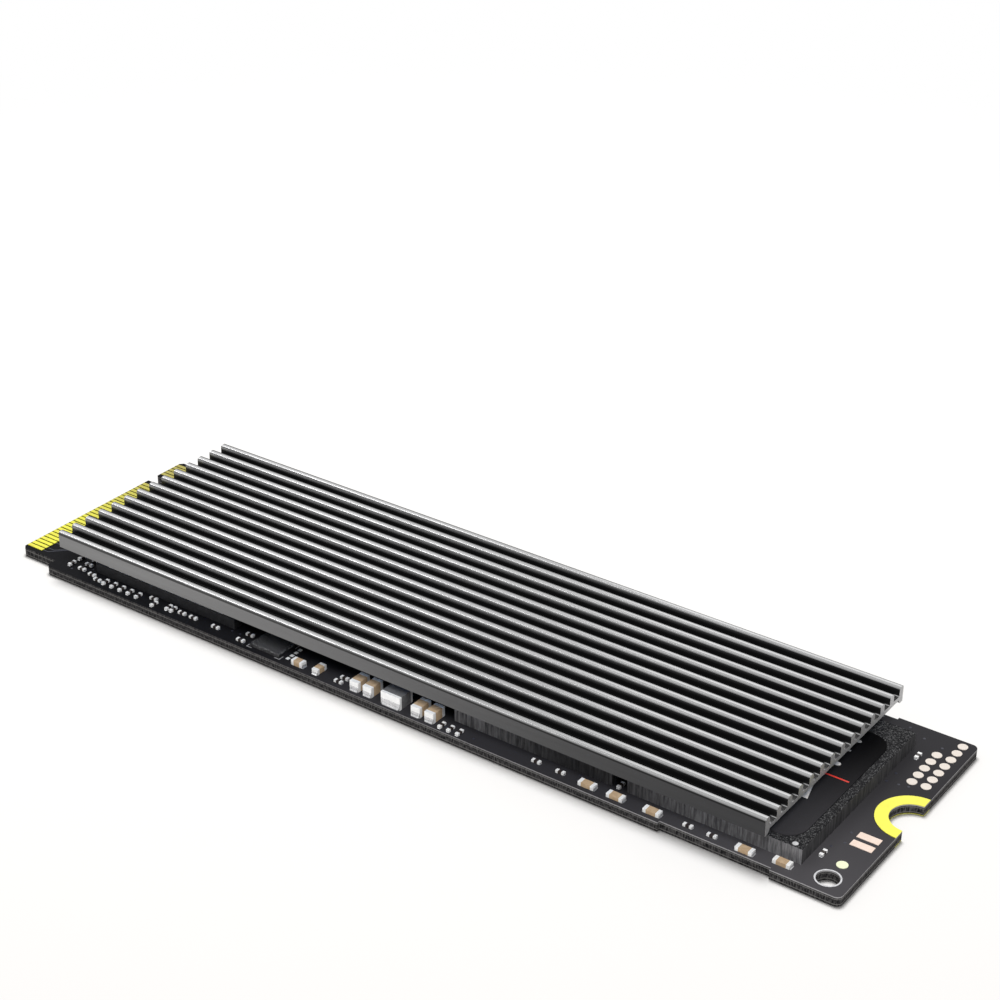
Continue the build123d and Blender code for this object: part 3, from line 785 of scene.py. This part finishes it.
class Shape:
    """A mesh under construction, in millimetres of the row frame."""

    def __init__(self) -> None:
        """Starts empty."""
        self.mesh = bmesh.new()

    def loop(self, points: Sequence[Point3]) -> list[bmesh.types.BMVert]:
        """Adds the points of one closed loop."""
        return [self.mesh.verts.new(point) for point in points]

    def walls(self, loops: Sequence[Sequence[bmesh.types.BMVert]]) -> None:
        """Joins closed loops of equal length, each to the next, and leaves both ends open.

        Args:
            loops: The loops, lowest first.
        """
        for low, high in zip(loops, loops[1:]):
            for i in range(len(low)):
                j = (i + 1) % len(low)
                self.mesh.faces.new((low[i], low[j], high[j], high[i]))

    def skin(self, loops: Sequence[Sequence[bmesh.types.BMVert]]) -> None:
        """Joins closed loops of equal length into a closed form with flat ends.

        Args:
            loops: The loops, lowest first.
        """
        self.mesh.faces.new(list(reversed(loops[0])))
        self.mesh.faces.new(list(loops[-1]))
        self.walls(loops)

    def prism(self, outline: Sequence[Point2], bottom: float, top: float) -> None:
        """Adds a closed upright prism on an outline whose corners run anticlockwise seen from above."""
        self.skin([self.loop([(x, y, z) for x, y in outline]) for z in (bottom, top)])

    def ribbon(self, points: Sequence[Point2], width: float, bottom: float, top: float) -> None:
        """Adds a flat strip that follows some points, with mitred corners.

        Args:
            points: The middle line's points.
            width: The strip's width.
            bottom: The height of its lower face.
            top: The height of its upper face.
        """
        left: list[Point2] = []
        right: list[Point2] = []
        for i, (x, y) in enumerate(points):
            before = Vector(points[max(i, 1)]) - Vector(points[max(i, 1) - 1])
            after = Vector(points[i + 1]) - Vector(points[i]) if i + 1 < len(points) else before
            along = (before.normalized() + after.normalized()).normalized()
            reach = width / 2 / max(SHARPEST_MITRE, along.dot(before.normalized()))
            left.append((x - along.y * reach, y + along.x * reach))
            right.append((x + along.y * reach, y - along.x * reach))
        self.prism(right + left[::-1], bottom, top)

    def disc(self, x: float, y: float, radius: float, bottom: float, top: float, sides: int = 20) -> None:
        """Adds a round flat pad with a slightly narrower top.

        Args:
            x: The place of its middle along the drive.
            y: The place of its middle across the drive.
            radius: Its radius at the foot.
            bottom: The height of its lower face.
            top: The height of its upper face.
            sides: How many sides it has.
        """
        step = 2 * math.pi / sides
        shoulder = bottom + DISC_SHOULDER * (top - bottom)
        rings = ((radius, bottom), (radius, shoulder), (DISC_TOP * radius, top))
        self.skin([self.loop([(x + r * math.cos(step * i), y + r * math.sin(step * i), z)
                              for i in range(sides)]) for r, z in rings])

    def wedge(self, foot: Point3, outward: Point2, width: float, reach: float, height: float) -> None:
        """Adds a solder fillet: hollow-faced, against an upright end.

        Args:
            foot: The middle of the end's lower edge.
            outward: The unit direction away from the end.
            width: The fillet's width along the end.
            reach: How far it runs out over the board.
            height: How far it climbs the end.
        """
        (x, y, z), (ox, oy) = foot, outward
        face = [(reach * out, height * rise, taper) for out, rise, taper in FILLET_FACE]
        section = [(-FILLET_SUNK, 0.0, 1.0), *face, (-FILLET_SUNK, height, 1.0)]
        self.skin([self.loop([(x + ox * out - oy * half * taper, y + oy * out + ox * half * taper, z + rise)
                              for out, rise, taper in section]) for half in (width / 2, -width / 2)])

    def make(self, name: str, body: Body, finish: Finish, slot: Slot,
             smooth: bool = False) -> bpy.types.Object:
        """Turns the shape into a piece that rides on a body.

        Args:
            name: The piece's name.
            body: The body that carries it.
            finish: Its surface.
            slot: Not used.
            smooth: Whether its faces shade smoothly.

        Returns:
            The new piece.
        """
        bmesh.ops.recalc_face_normals(self.mesh, faces=self.mesh.faces)
        bmesh.ops.scale(self.mesh, vec=(MM, MM, MM), verts=self.mesh.verts)
        for face in self.mesh.faces:
            face.smooth = smooth
        piece = place_mesh(name, self.mesh)
        piece.data.materials.append(finish.material())
        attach(piece, body.value)
        LOG.info("made %s on %s: %d faces", name, body.value, len(piece.data.polygons))
        return piece


def place_mesh(name: str, mesh: bmesh.types.BMesh) -> bpy.types.Object:
    """Puts a finished mesh into the scene.

    Args:
        name: The new object's name.
        mesh: Its mesh, which is used up.

    Returns:
        The object.
    """
    data = bpy.data.meshes.new(name)
    mesh.to_mesh(data)
    mesh.free()
    made = bpy.data.objects.new(name, data)
    bpy.context.scene.collection.objects.link(made)
    return made


def rounded_outline(left: float, right: float, front: float, back: float, radius: float,
                    steps: int = 6) -> list[Point2]:
    """The outline of a rectangle with rounded corners.

    Args:
        left: Its least X.
        right: Its greatest X.
        front: Its least Y.
        back: Its greatest Y.
        radius: The radius of its corners.
        steps: How many short sides make each corner.

    Returns:
        Its points, anticlockwise.
    """
    corners = ((right - radius, front + radius, -90), (right - radius, back - radius, 0),
               (left + radius, back - radius, 90), (left + radius, front + radius, 180))
    outline = []
    for x, y, start in corners:
        for i in range(steps + 1):
            angle = math.radians(start + 90 * i / steps)
            outline.append((x + radius * math.cos(angle), y + radius * math.sin(angle)))
    return outline


def islands(name: str) -> list[tuple[Vector, Vector]]:
    """Finds the separate solids of a CAD node.

    Args:
        name: The node's name.

    Returns:
        The lowest and highest corners of each, in millimetres, in the order of their places.
    """
    work = bmesh.new()
    work.from_mesh(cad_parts[name].data)
    bmesh.ops.remove_doubles(work, verts=work.verts, dist=WELD_DISTANCE)
    found: list[tuple[Vector, Vector]] = []
    left = set(work.verts)
    while left:
        stack = [left.pop()]
        group = []
        while stack:
            vert = stack.pop()
            group.append(vert.co / MM)
            for edge in vert.link_edges:
                other = edge.other_vert(vert)
                if other in left:
                    left.remove(other)
                    stack.append(other)
        low, high = (Vector([pick(parts) for parts in zip(*group)]) for pick in (min, max))
        found.append((low, high))
    work.free()
    return sorted(found, key=lambda box: (round(box[0].x, 3), round(box[0].y, 3)))


def dress(node: str, finish: Finish, bevel: float = 0.0) -> None:
    """Gives a CAD node its finish, and a small bevel along its edges if asked.

    Args:
        node: The node's name.
        finish: Its surface.
        bevel: The bevel's width, in millimetres.
    """
    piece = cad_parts[node]
    piece.data.materials.clear()
    piece.data.materials.append(finish.material())
    if bevel:
        edge = piece.modifiers.new("edge_bevel", "BEVEL")
        edge.width = bevel * MM
        edge.segments = BEVEL_SEGMENTS
        edge.limit_method = "ANGLE"
        edge.angle_limit = math.radians(BEVELLED_FROM)
        edge.harden_normals = False
    LOG.info("dressed %s in %s", node, finish.name)


@dataclass
class HeatSink:
    """The finned extrusion, which is the CAD node itself."""

    node: str = "heat_sink"
    end_bevel: float = 0.015

    def build(self) -> None:
        """Dresses the extrusion."""
        dress(self.node, SINK_FINISH, bevel=self.end_bevel)


@dataclass
class ThermalPad:
    """The soft pad: a slab with rounded, slightly bulging edges and faint waves on both faces.

    The edge's points are drawn in towards a block that lies corner_block inside the pad's sides. A side dips
    as the nearer face does, by a share that grows from none at half height, dip_growth times as fast as the
    height.
    """

    node: str = "thermal_pad"
    edge_radius: float = 0.10
    corner_radius: float = 0.22
    corner_steps: int = 8
    corner_block: float = 1.0
    outline_step: float = 0.6
    bulge: float = 0.02
    wave: float = 0.010
    dip_growth: float = 1.2
    rim_steps: int = 7
    side_steps: int = 4
    face_rings: int = 9

    def __post_init__(self) -> None:
        """Reads the pad's place from the frame."""
        self.low, self.high = node_box(self.node)

    def build(self) -> None:
        """Builds the pad from stacked outlines that round its edges, and closes both faces."""
        shape = Shape()
        outline = self._outline()
        loops = [shape.loop([self._edge_point(start, inset, rise) for start in outline])
                 for inset, rise in self._levels()]
        shape.walls(loops)
        self._close(shape, loops[0], self.low.z, -1)
        self._close(shape, loops[-1], self.high.z, 1)
        piece = shape.make("soft_thermal_pad", Body.PAD, PAD_FINISH, Slot.PAD, smooth=True)
        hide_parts(self.node)

    def _outline(self) -> list[Point2]:
        """Cuts the pad's outline finely enough to follow the waves of its faces.

        Returns:
            Its points, anticlockwise.
        """
        base = rounded_outline(self.low.x, self.high.x, self.low.y, self.high.y, self.corner_radius,
                               self.corner_steps)
        outline: list[Point2] = []
        for start, end in zip(base, base[1:] + base[:1]):
            cuts = max(1, round(math.dist(start, end) / self.outline_step))
            run, climb = end[0] - start[0], end[1] - start[1]
            outline += [(start[0] + run * (k / cuts), start[1] + climb * (k / cuts)) for k in range(cuts)]
        return outline

    def _levels(self) -> list[tuple[float, float]]:
        """Works out the rings of the pad's edge.

        Returns:
            How far in and how high each lies, from the lower face to the upper.
        """
        radius, height = self.edge_radius, self.high.z - self.low.z
        turns = [math.pi / 2 * i / self.rim_steps for i in range(self.rim_steps + 1)]
        lower = [(self.bulge + radius * (1 - math.sin(turn)), radius * (1 - math.cos(turn)))
                 for turn in turns]
        shares = [i / self.side_steps for i in range(1, self.side_steps)]
        side = [(self.bulge * (1 - math.sin(math.pi * share)), radius + (height - 2 * radius) * share)
                for share in shares]
        upper = [(inset, height - rise) for inset, rise in reversed(lower)]
        return lower + side + upper

    def _dip(self, x: float, y: float) -> float:
        """Works out how far a face dips at a point. It never rises.

        Args:
            x: The point's place along the drive.
            y: The point's place across the drive.

        Returns:
            The depth of the dip.
        """
        crossed = math.sin(0.21 * x + 0.6) * math.sin(0.33 * y + 0.9)
        slanted = math.sin(0.47 * x - 0.25 * y)
        return self.wave * (1.0 + 0.6 * (crossed + 0.5 * slanted))

    def _edge_point(self, start: Point2, inset: float, rise: float) -> Point3:
        """Draws a point of the outline in, and dips it as the nearer face does.

        Args:
            start: The point of the outline.
            inset: How far in it goes.
            rise: How far above the lower face it lies.

        Returns:
            The point of the edge.
        """
        block = [min(max(start[i], self.low[i] + self.corner_block), self.high[i] - self.corner_block)
                 for i in (0, 1)]
        away = Vector((start[0] - block[0], start[1] - block[1]))
        away = away * ((away.length - inset) / away.length)
        x, y = block[0] + away.x, block[1] + away.y
        from_middle = 2 * rise / (self.high.z - self.low.z) - 1
        dip = self._dip(x, y) * min(1.0, abs(from_middle) * self.dip_growth)
        return x, y, self.low.z + rise - math.copysign(dip, from_middle)

    def _close(self, shape: Shape, rim: Sequence[bmesh.types.BMVert], level: float, side: int) -> None:
        """Fills one face with rings drawn in towards its middle, which follow the face's waves.

        Args:
            shape: The shape being built.
            rim: The face's outermost ring.
            level: The height of the face.
            side: 1 for the upper face, -1 for the lower.
        """
        middle = (self.low + self.high) / 2
        ring = list(rim)
        for step in range(1, self.face_rings):
            share = 1 - step / self.face_rings
            places = [(middle.x + (vert.co.x - middle.x) * share, middle.y + (vert.co.y - middle.y) * share)
                      for vert in rim]
            inner = shape.loop([(x, y, level - side * self._dip(x, y)) for x, y in places])
            shape.walls([ring, inner])
            ring = inner
        centre = shape.mesh.verts.new((middle.x, middle.y, level - side * self._dip(middle.x, middle.y)))
        for start, end in zip(ring, ring[1:] + ring[:1]):
            shape.mesh.faces.new((start, end, centre))


@dataclass
class CircuitBoard:
    """The board with its lacquered traces, via caps and printed marks."""

    node: str = "circuit_board"
    bevel: float = 0.08
    trace_group: int = 3
    trace_width: float = 0.11
    trace_height: float = 0.012
    trace_gap: float = 0.04
    trace_run: float = 0.55
    trace_stagger: float = 0.22
    trace_staggers: int = 7
    trace_gather: float = 0.72
    trace_shift: float = -0.4
    trace_tail: float = 2.6
    controller_gap: float = 0.15
    via_seed: int = 7
    via_count: int = 150
    via_radius: float = 0.11
    via_height: float = 0.012
    via_sides: int = 10
    via_gap: float = 0.12
    via_near_margin: float = 3.0
    via_far_margin: float = 0.5
    via_side_margin: float = 0.45
    shoulder: Point2 = (4.4, 9.4)
    ink_width: float = 0.09
    ink_height: float = 0.008
    ink_gap: float = 0.16
    ink_reach: float = 0.5
    ink_overlap: float = 0.001

    def __post_init__(self) -> None:
        """Reads the board's place from the frame."""
        self.low, self.high = node_box(self.node)

    def build(self) -> None:
        """Dresses the board and adds its relief."""
        dress(self.node, BOARD_FINISH, bevel=self.bevel)
        self._traces()
        self._vias()
        self._ink()

    def _traces(self) -> None:
        """Lines under the lacquer that fan from all but every third contact towards the controller."""
        shape = Shape()
        contacts = islands("contacts_top_main") + islands("contacts_top_key")
        limit = node_box("controller_substrate")[0].x - self.controller_gap
        for i, (low, high) in enumerate(contacts):
            if i % self.trace_group == self.trace_group - 1:
                continue
            y = (low.y + high.y) / 2
            start = high.x + self.trace_gap
            bend = start + self.trace_run + self.trace_stagger * (i % self.trace_staggers)
            target = y * self.trace_gather + self.trace_shift
            slant = abs(target - y)
            end = min(limit, bend + slant + self.trace_tail)
            shape.ribbon([(start, y), (bend, y), (bend + slant, target), (end, target)], self.trace_width,
                         self.high.z, self.high.z + self.trace_height)
        shape.make("board_traces", Body.DRIVE, TRACE_FINISH, Slot.BOARD)

    def _vias(self) -> None:
        """Small lacquered via caps scattered where no piece stands, and off the tongue's shoulders."""
        draw = random.Random(self.via_seed)
        shape = Shape()
        packages = ("controller_substrate", "dram_chip", *MEMORY_CHIPS, *SMALL_CHIPS)
        blocks = [node_box(name) for name in packages]
        for kind in CAPACITOR_KINDS:
            blocks += islands(f"{kind}_capacitors") + islands(f"{kind}_capacitor_ends")
        for name in ("inductor_core", "inductor_terminals", "back_dots", "front_dots", "test_pads",
                     "jumper_pads", "fiducials", "tooling_rims", "mount_ring_top"):
            blocks += islands(name)
        gap = self.via_radius + self.via_gap
        placed = 0
        while placed < self.via_count:
            x = draw.uniform(self.low.x + self.via_near_margin, self.high.x - self.via_far_margin)
            y = draw.uniform(self.low.y + self.via_side_margin, self.high.y - self.via_side_margin)
            taken = any(a.x - gap < x < b.x + gap and a.y - gap < y < b.y + gap for a, b in blocks)
            on_shoulder = x < self.low.x + self.shoulder[0] and abs(y) > self.shoulder[1]
            if taken or on_shoulder:
                continue
            shape.disc(x, y, self.via_radius, self.high.z, self.high.z + self.via_height, self.via_sides)
            placed += 1
        shape.make("via_caps", Body.DRIVE, TRACE_FINISH, Slot.BOARD)

    def _ink(self) -> None:
        """Printed corner marks round the small chips, and two whole lines beside the corner chip."""
        shape = Shape()
        bottom, top = self.high.z, self.high.z + self.ink_height
        for name in SMALL_CHIPS:
            low, high = node_box(name)
            left, right = low.x - self.ink_gap, high.x + self.ink_gap
            front, back = low.y - self.ink_gap, high.y + self.ink_gap
            for x, y, in_x, in_y in ((left, front, 1, 1), (right, front, -1, 1), (right, back, -1, -1),
                                     (left, back, 1, -1)):
                reach_x, reach_y = x + in_x * self.ink_reach, y + in_y * self.ink_reach
                shape.ribbon([(reach_x, y), (x, y), (x, reach_y)], self.ink_width, bottom, top)
            if name == "corner_chip":
                for line in ([(left, front), (right, front)], [(right, front), (right, back)]):
                    shape.ribbon(line, self.ink_width, bottom, top + self.ink_overlap)
        shape.make("printed_marks", Body.DRIVE, FAINT_INK_FINISH, Slot.BOARD)


@dataclass
class Packages:
    """The controller, the memory packages and the small chips.

    lid_corner is how much of the lid's corners the CAD cuts off, and flange_mitre how much shorter the
    flange's outer edge is there than its reach.
    """

    bevel: float = 0.03
    chip_bevel: float = 0.02
    dot_radius: float = 0.22
    dot_height: float = 0.012
    dot_sunk: float = 0.001
    dot_from_end: float = 0.68
    dot_from_front: float = 0.245
    lid_corner: float = 1.30
    flange_reach: float = 0.23
    flange_thickness: float = 0.14
    flange_mitre: float = 0.41
    flange_overrun: float = 0.1
    flange_corner: float = 0.5

    def build(self) -> None:
        """Dresses the packages, and adds the lid's flange and the corner dots."""
        dress("controller_substrate", LAMINATE_FINISH, bevel=self.bevel)
        dress("controller_lid", LID_FINISH, bevel=self.bevel)
        for node in ("dram_chip", *MEMORY_CHIPS):
            dress(node, PACKAGE_FINISH, bevel=self.bevel)
        for node in SMALL_CHIPS:
            dress(node, CORNER_CHIP_FINISH if node == "corner_chip" else CHIP_FINISH, bevel=self.chip_bevel)
        self._lid_flange()
        self._corner_dots()

    def _lid_flange(self) -> None:
        """The lid's pressed flange, which shows as a duller strip along the label's back edge."""
        low, high = node_box("controller_lid")
        left, right, back = low.x, high.x, high.y
        cut, reach, corner = self.lid_corner, self.flange_reach, self.flange_corner
        mitre, end = self.flange_mitre * reach, right + self.flange_overrun
        outline = [(left, back - cut), (left + cut, back), (right - cut, back), (right, back - cut),
                   (end, back - cut), (end, back + reach - corner), (end - corner, back + reach),
                   (left + cut - mitre, back + reach), (left - reach, back - cut - mitre)]
        shape = Shape()
        shape.prism(outline, high.z - self.flange_thickness, high.z)
        shape.make("lid_flange", Body.DRIVE, DULL_LID_FINISH, Slot.LID)

    def _corner_dots(self) -> None:
        """Light round dots on the border of each memory package, beside the label."""
        shape = Shape()
        for node in MEMORY_CHIPS:
            low, high = node_box(node)
            shape.disc(high.x - self.dot_from_end, low.y + self.dot_from_front, self.dot_radius,
                       high.z - self.dot_sunk, high.z + self.dot_height)
        shape.make("package_corner_dots", Body.DRIVE, INK_FINISH, Slot.MOULDING)


@dataclass
class SmallParts:
    """Capacitors, inductor, contacts, rings, pads and their solder.

    A fillet's reach and climb are shares of its end's height, and longest_reach is in millimetres.
    """

    capacitor_bevel: float = 0.015
    inductor_bevel: float = 0.03
    fillet_reach: float = 0.28
    longest_reach: float = 0.12
    climb: float = 0.5

    def build(self) -> None:
        """Dresses every small piece and adds solder at the metal ends."""
        for kind in CAPACITOR_KINDS:
            ceramic = TAN_CERAMIC_FINISH if kind in TAN_KINDS else DARK_CERAMIC_FINISH
            dress(f"{kind}_capacitors", ceramic, bevel=self.capacitor_bevel)
            dress(f"{kind}_capacitor_ends", TIN_FINISH, bevel=self.capacitor_bevel)
        dress("inductor_core", FERRITE_FINISH, bevel=self.inductor_bevel)
        dress("inductor_terminals", TIN_FINISH, bevel=self.inductor_bevel)
        contacts = tuple(f"contacts_{face}_{block}" for face in ("top", "bottom")
                         for block in ("main", "key"))
        flat = {
            GOLD_FINISH: contacts, RING_FINISH: ("mount_ring_top", "mount_ring_bottom"),
            RIM_FINISH: ("tooling_rims",),
            TIN_FINISH: ("back_dots", "front_dots"), FIDUCIAL_FINISH: ("fiducials",),
            BARE_PAD_FINISH: ("test_pads",), JUMPER_FINISH: ("jumper_pads",)}
        for finish, nodes in flat.items():
            for node in nodes:
                dress(node, finish)
        self._solder()

    def _solder(self) -> None:
        """Adds a fillet at the outer face of every metal end."""
        shape = Shape()
        pairs = [(f"{kind}_capacitors", f"{kind}_capacitor_ends") for kind in CAPACITOR_KINDS]
        pairs.append(("inductor_core", "inductor_terminals"))
        for bodies, ends in pairs:
            middles = [(low + high) / 2 for low, high in islands(bodies)]
            for low, high in islands(ends):
                centre = (low + high) / 2
                away = centre - min(middles, key=lambda middle: (middle - centre).length)
                axis = 0 if abs(away.x) > abs(away.y) else 1
                forward = math.copysign(1.0, away[axis])
                outward = (forward, 0.0) if axis == 0 else (0.0, forward)
                foot = [centre.x, centre.y, low.z]
                foot[axis] = high[axis] if forward > 0 else low[axis]
                width, height = high[1 - axis] - low[1 - axis], high.z - low.z
                reach = min(self.longest_reach, self.fillet_reach * height)
                shape.wedge(foot, outward, width, reach, height * self.climb)
        shape.make("solder_fillets", Body.DRIVE, SOLDER_FINISH, Slot.TIN)


@dataclass
class DriveLabel:
    """The black film over the packages, printed with plain fields: a rule, a broad band and bars.

    Each bar is given by its start and end along X, its front edge and its depth.
    """

    bevel: float = 0.02
    print_height: float = 0.006
    slant: float = 0.45
    rule: tuple[Point2, Point2] = ((16.2, -0.6), (35.1, -0.6))
    rule_width: float = 0.15
    red_band: Span = (16.4, 24.9)
    white_band: Span = (25.5, 33.2)
    band_front: float = -4.1
    band_depth: float = 1.7
    bars: tuple[Bar, ...] = (
        (20.4, 24.3, -7.1, 0.5), (25.1, 33.2, -7.1, 0.5), (16.4, 19.3, 0.75, 0.45), (20.1, 22.6, 0.75, 0.45),
        (23.3, 27.5, 0.75, 0.45), (28.2, 33.6, 0.75, 0.45))
    small_bars: tuple[Bar, ...] = (
        (23.0, 33.4, 2.85, 0.22), (16.6, 19.0, 4.25, 0.34), (19.6, 21.4, 4.25, 0.34),
        (22.1, 28.0, 4.25, 0.34), (28.6, 33.5, 4.25, 0.34), (7.4, 12.4, 3.4, 0.9))
    bar_rounding: float = 0.49
    bar_corner_steps: int = 5

    def __post_init__(self) -> None:
        """Reads the film's upper face from the frame."""
        self.film = node_box("drive_label")[1].z

    def build(self) -> None:
        """Dresses the film and prints on it."""
        dress("drive_label", LABEL_FINISH, bevel=self.bevel)
        red, white, grey = Shape(), Shape(), Shape()
        red.ribbon(self.rule, self.rule_width, self.film, self.film + self.print_height)
        self._band(red, *self.red_band)
        self._band(white, *self.white_band)
        for bar in self.bars:
            self._bar(white, *bar)
        for bar in self.small_bars:
            self._bar(grey, *bar)
        red.make("label_red_print", Body.DRIVE, RULE_FINISH, Slot.LABEL)
        white.make("label_white_print", Body.DRIVE, FIELD_FINISH, Slot.LABEL)
        grey.make("label_grey_print", Body.DRIVE, SMALL_FIELD_FINISH, Slot.LABEL)

    def _band(self, shape: Shape, start: float, end: float) -> None:
        """Adds one part of the broad band, with slanted ends.

        Args:
            shape: The shape of that colour's print.
            start: Where the band's back edge starts along X.
            end: Where it ends.
        """
        front, back = self.band_front, self.band_front + self.band_depth
        outline = [(start + self.slant, front), (end + self.slant, front), (end, back), (start, back)]
        shape.prism(outline, self.film, self.film + self.print_height)

    def _bar(self, shape: Shape, start: float, end: float, front: float, depth: float) -> None:
        """Adds one bar with rounded ends.

        Args:
            shape: The shape of that colour's print.
            start: Where it starts along X.
            end: Where it ends.
            front: Its front edge.
            depth: Its depth.
        """
        outline = rounded_outline(start, end, front, front + depth, depth * self.bar_rounding,
                                  self.bar_corner_steps)
        shape.prism(outline, self.film, self.film + self.print_height)


@dataclass(frozen=True)
class Softbox:
    """A square soft lamp that looks at the middle of the object."""

    name: str
    place: Point3
    size: float
    power: float
    lights: Lights = Lights.OBJECT

    def hang(self, floor: bpy.types.Object) -> None:
        """Adds the lamp to the scene.

        Args:
            floor: The studio floor, which it lights alone or leaves out.
        """
        data = bpy.data.lights.new(self.name, "AREA")
        data.size = self.size
        data.energy = self.power
        lamp = bpy.data.objects.new(self.name, data)
        lamp.location = self.place
        lamp.rotation_euler = (-Vector(self.place)).to_track_quat("-Z", "Y").to_euler()
        bpy.context.scene.collection.objects.link(lamp)
        reach = bpy.data.collections.new(f"{self.name}_reach")
        reach.objects.link(floor)
        reach.collection_objects[0].light_linking.link_state = self.lights.value
        lamp.light_linking.receiver_collection = reach


@dataclass
class Studio:
    """Pale floor, white surroundings, soft lamps and the photograph's camera, in metres."""

    softboxes: tuple[Softbox, ...] = (
        Softbox("key_softbox", (0.16, -0.21, 0.36), size=0.22, power=1.68),
        Softbox("back_softbox", (-0.06, 0.20, 0.16), size=0.10, power=0.05),
        Softbox("left_softbox", (-0.26, -0.12, 0.34), size=0.08, power=0.12),
        Softbox("floor_softbox", (-0.055, 0.080, 0.388), size=0.15, power=1.86, lights=Lights.FLOOR))
    floor_radius: float = 1.5
    floor_sides: int = 96
    floor_drop: float = 0.00002
    paper: Colour = (0.725, 0.714, 0.702)
    paper_glow: float = 0.005
    fade: Span = (0.07, 0.17)
    ambient: float = 0.38
    camera_place: Point3 = (0.087643, -0.115999, 0.091302)
    camera_right: Point3 = (0.80980, 0.58670, 0.00294)
    camera_up: Point3 = (-0.27827, 0.37966, 0.88228)
    focal_pixels: float = 2125.68
    picture_pixels: float = 1000.0
    sensor: float = 36.0
    nearest: float = 0.01

    def build(self) -> None:
        """Builds everything round the object."""
        floor = self._floor()
        self._world()
        for softbox in self.softboxes:
            softbox.hang(floor)
        self._camera()
        bpy.context.scene.view_settings.view_transform = "Standard"

    @staticmethod
    def _sees_white(graph: Graph) -> Signal:
        """1 for camera rays and for mirror and glass rays, which see the pale background."""
        path = graph.add("ShaderNodeLightPath", output="Is Camera Ray")
        return path.at_least(path.output("Is Glossy Ray")).at_least(path.output("Is Transmission Ray"))

    def _floor(self) -> bpy.types.Object:
        """Makes a large disc under the object, which takes its shadow and fades to plain white.

        Returns:
            The floor.
        """
        mesh = bmesh.new()
        bmesh.ops.create_circle(mesh, cap_ends=True, radius=self.floor_radius, segments=self.floor_sides)
        floor = place_mesh("studio_floor", mesh)
        floor.location.z = -self.floor_drop
        material = bpy.data.materials.new("pale_floor")
        graph = Graph(material)
        point = graph.add("ShaderNodeTexCoord", output="Object")
        distance = graph.add("ShaderNodeVectorMath", {"operation": "LENGTH"}, {0: point}, output="Value")
        sees = self._sees_white(graph)
        faded = sees * distance.above(*self.fade)
        paper = graph.add("ShaderNodeBsdfDiffuse", inputs={"Color": opaque(self.paper)})
        glow = graph.add("ShaderNodeEmission", inputs={
            "Color": opaque(WHITE), "Strength": sees * self.paper_glow})
        lit = graph.add("ShaderNodeAddShader", inputs={0: paper, 1: glow})
        white = graph.add("ShaderNodeEmission", inputs={"Color": opaque(WHITE)})
        upper = graph.add("ShaderNodeMixShader", inputs={0: faded, 1: lit, 2: white})
        clear = graph.add("ShaderNodeBsdfTransparent")
        under = graph.add("ShaderNodeNewGeometry", output="Backfacing")
        surface = graph.add("ShaderNodeMixShader", inputs={0: under, 1: upper, 2: clear})
        graph.add("ShaderNodeOutputMaterial", inputs={"Surface": surface})
        floor.data.materials.append(material)
        return floor

    def _world(self) -> None:
        """Even light from all round, and a white background."""
        world = bpy.data.worlds.new("studio_world")
        graph = Graph(world)
        strength = self.ambient + self._sees_white(graph) * (1 - self.ambient)
        light = graph.add("ShaderNodeBackground", inputs={"Color": opaque(WHITE), "Strength": strength})
        graph.add("ShaderNodeOutputWorld", inputs={"Surface": light})
        bpy.context.scene.world = world

    def _camera(self) -> None:
        """The camera that was fitted to the photograph."""
        data = bpy.data.cameras.new("photo_camera")
        data.sensor_width = self.sensor
        data.lens = self.focal_pixels * self.sensor / self.picture_pixels
        data.clip_start = self.nearest
        camera = bpy.data.objects.new("photo_camera", data)
        right, up = Vector(self.camera_right), Vector(self.camera_up)
        turn = Matrix((right, up, right.cross(up))).transposed()
        camera.matrix_world = Matrix.Translation(self.camera_place) @ turn.to_4x4()
        bpy.context.scene.collection.objects.link(camera)
        bpy.context.scene.camera = camera


def main() -> None:
    """Builds the object's looks and the studio round it."""
    logging.basicConfig(level=logging.INFO, format="%(message)s")
    for part in (CircuitBoard(), Packages(), SmallParts(), DriveLabel(), ThermalPad(), HeatSink(), Studio()):
        part.build()
        LOG.info("built %s", type(part).__name__)


if __name__ == "__main__":
    main()
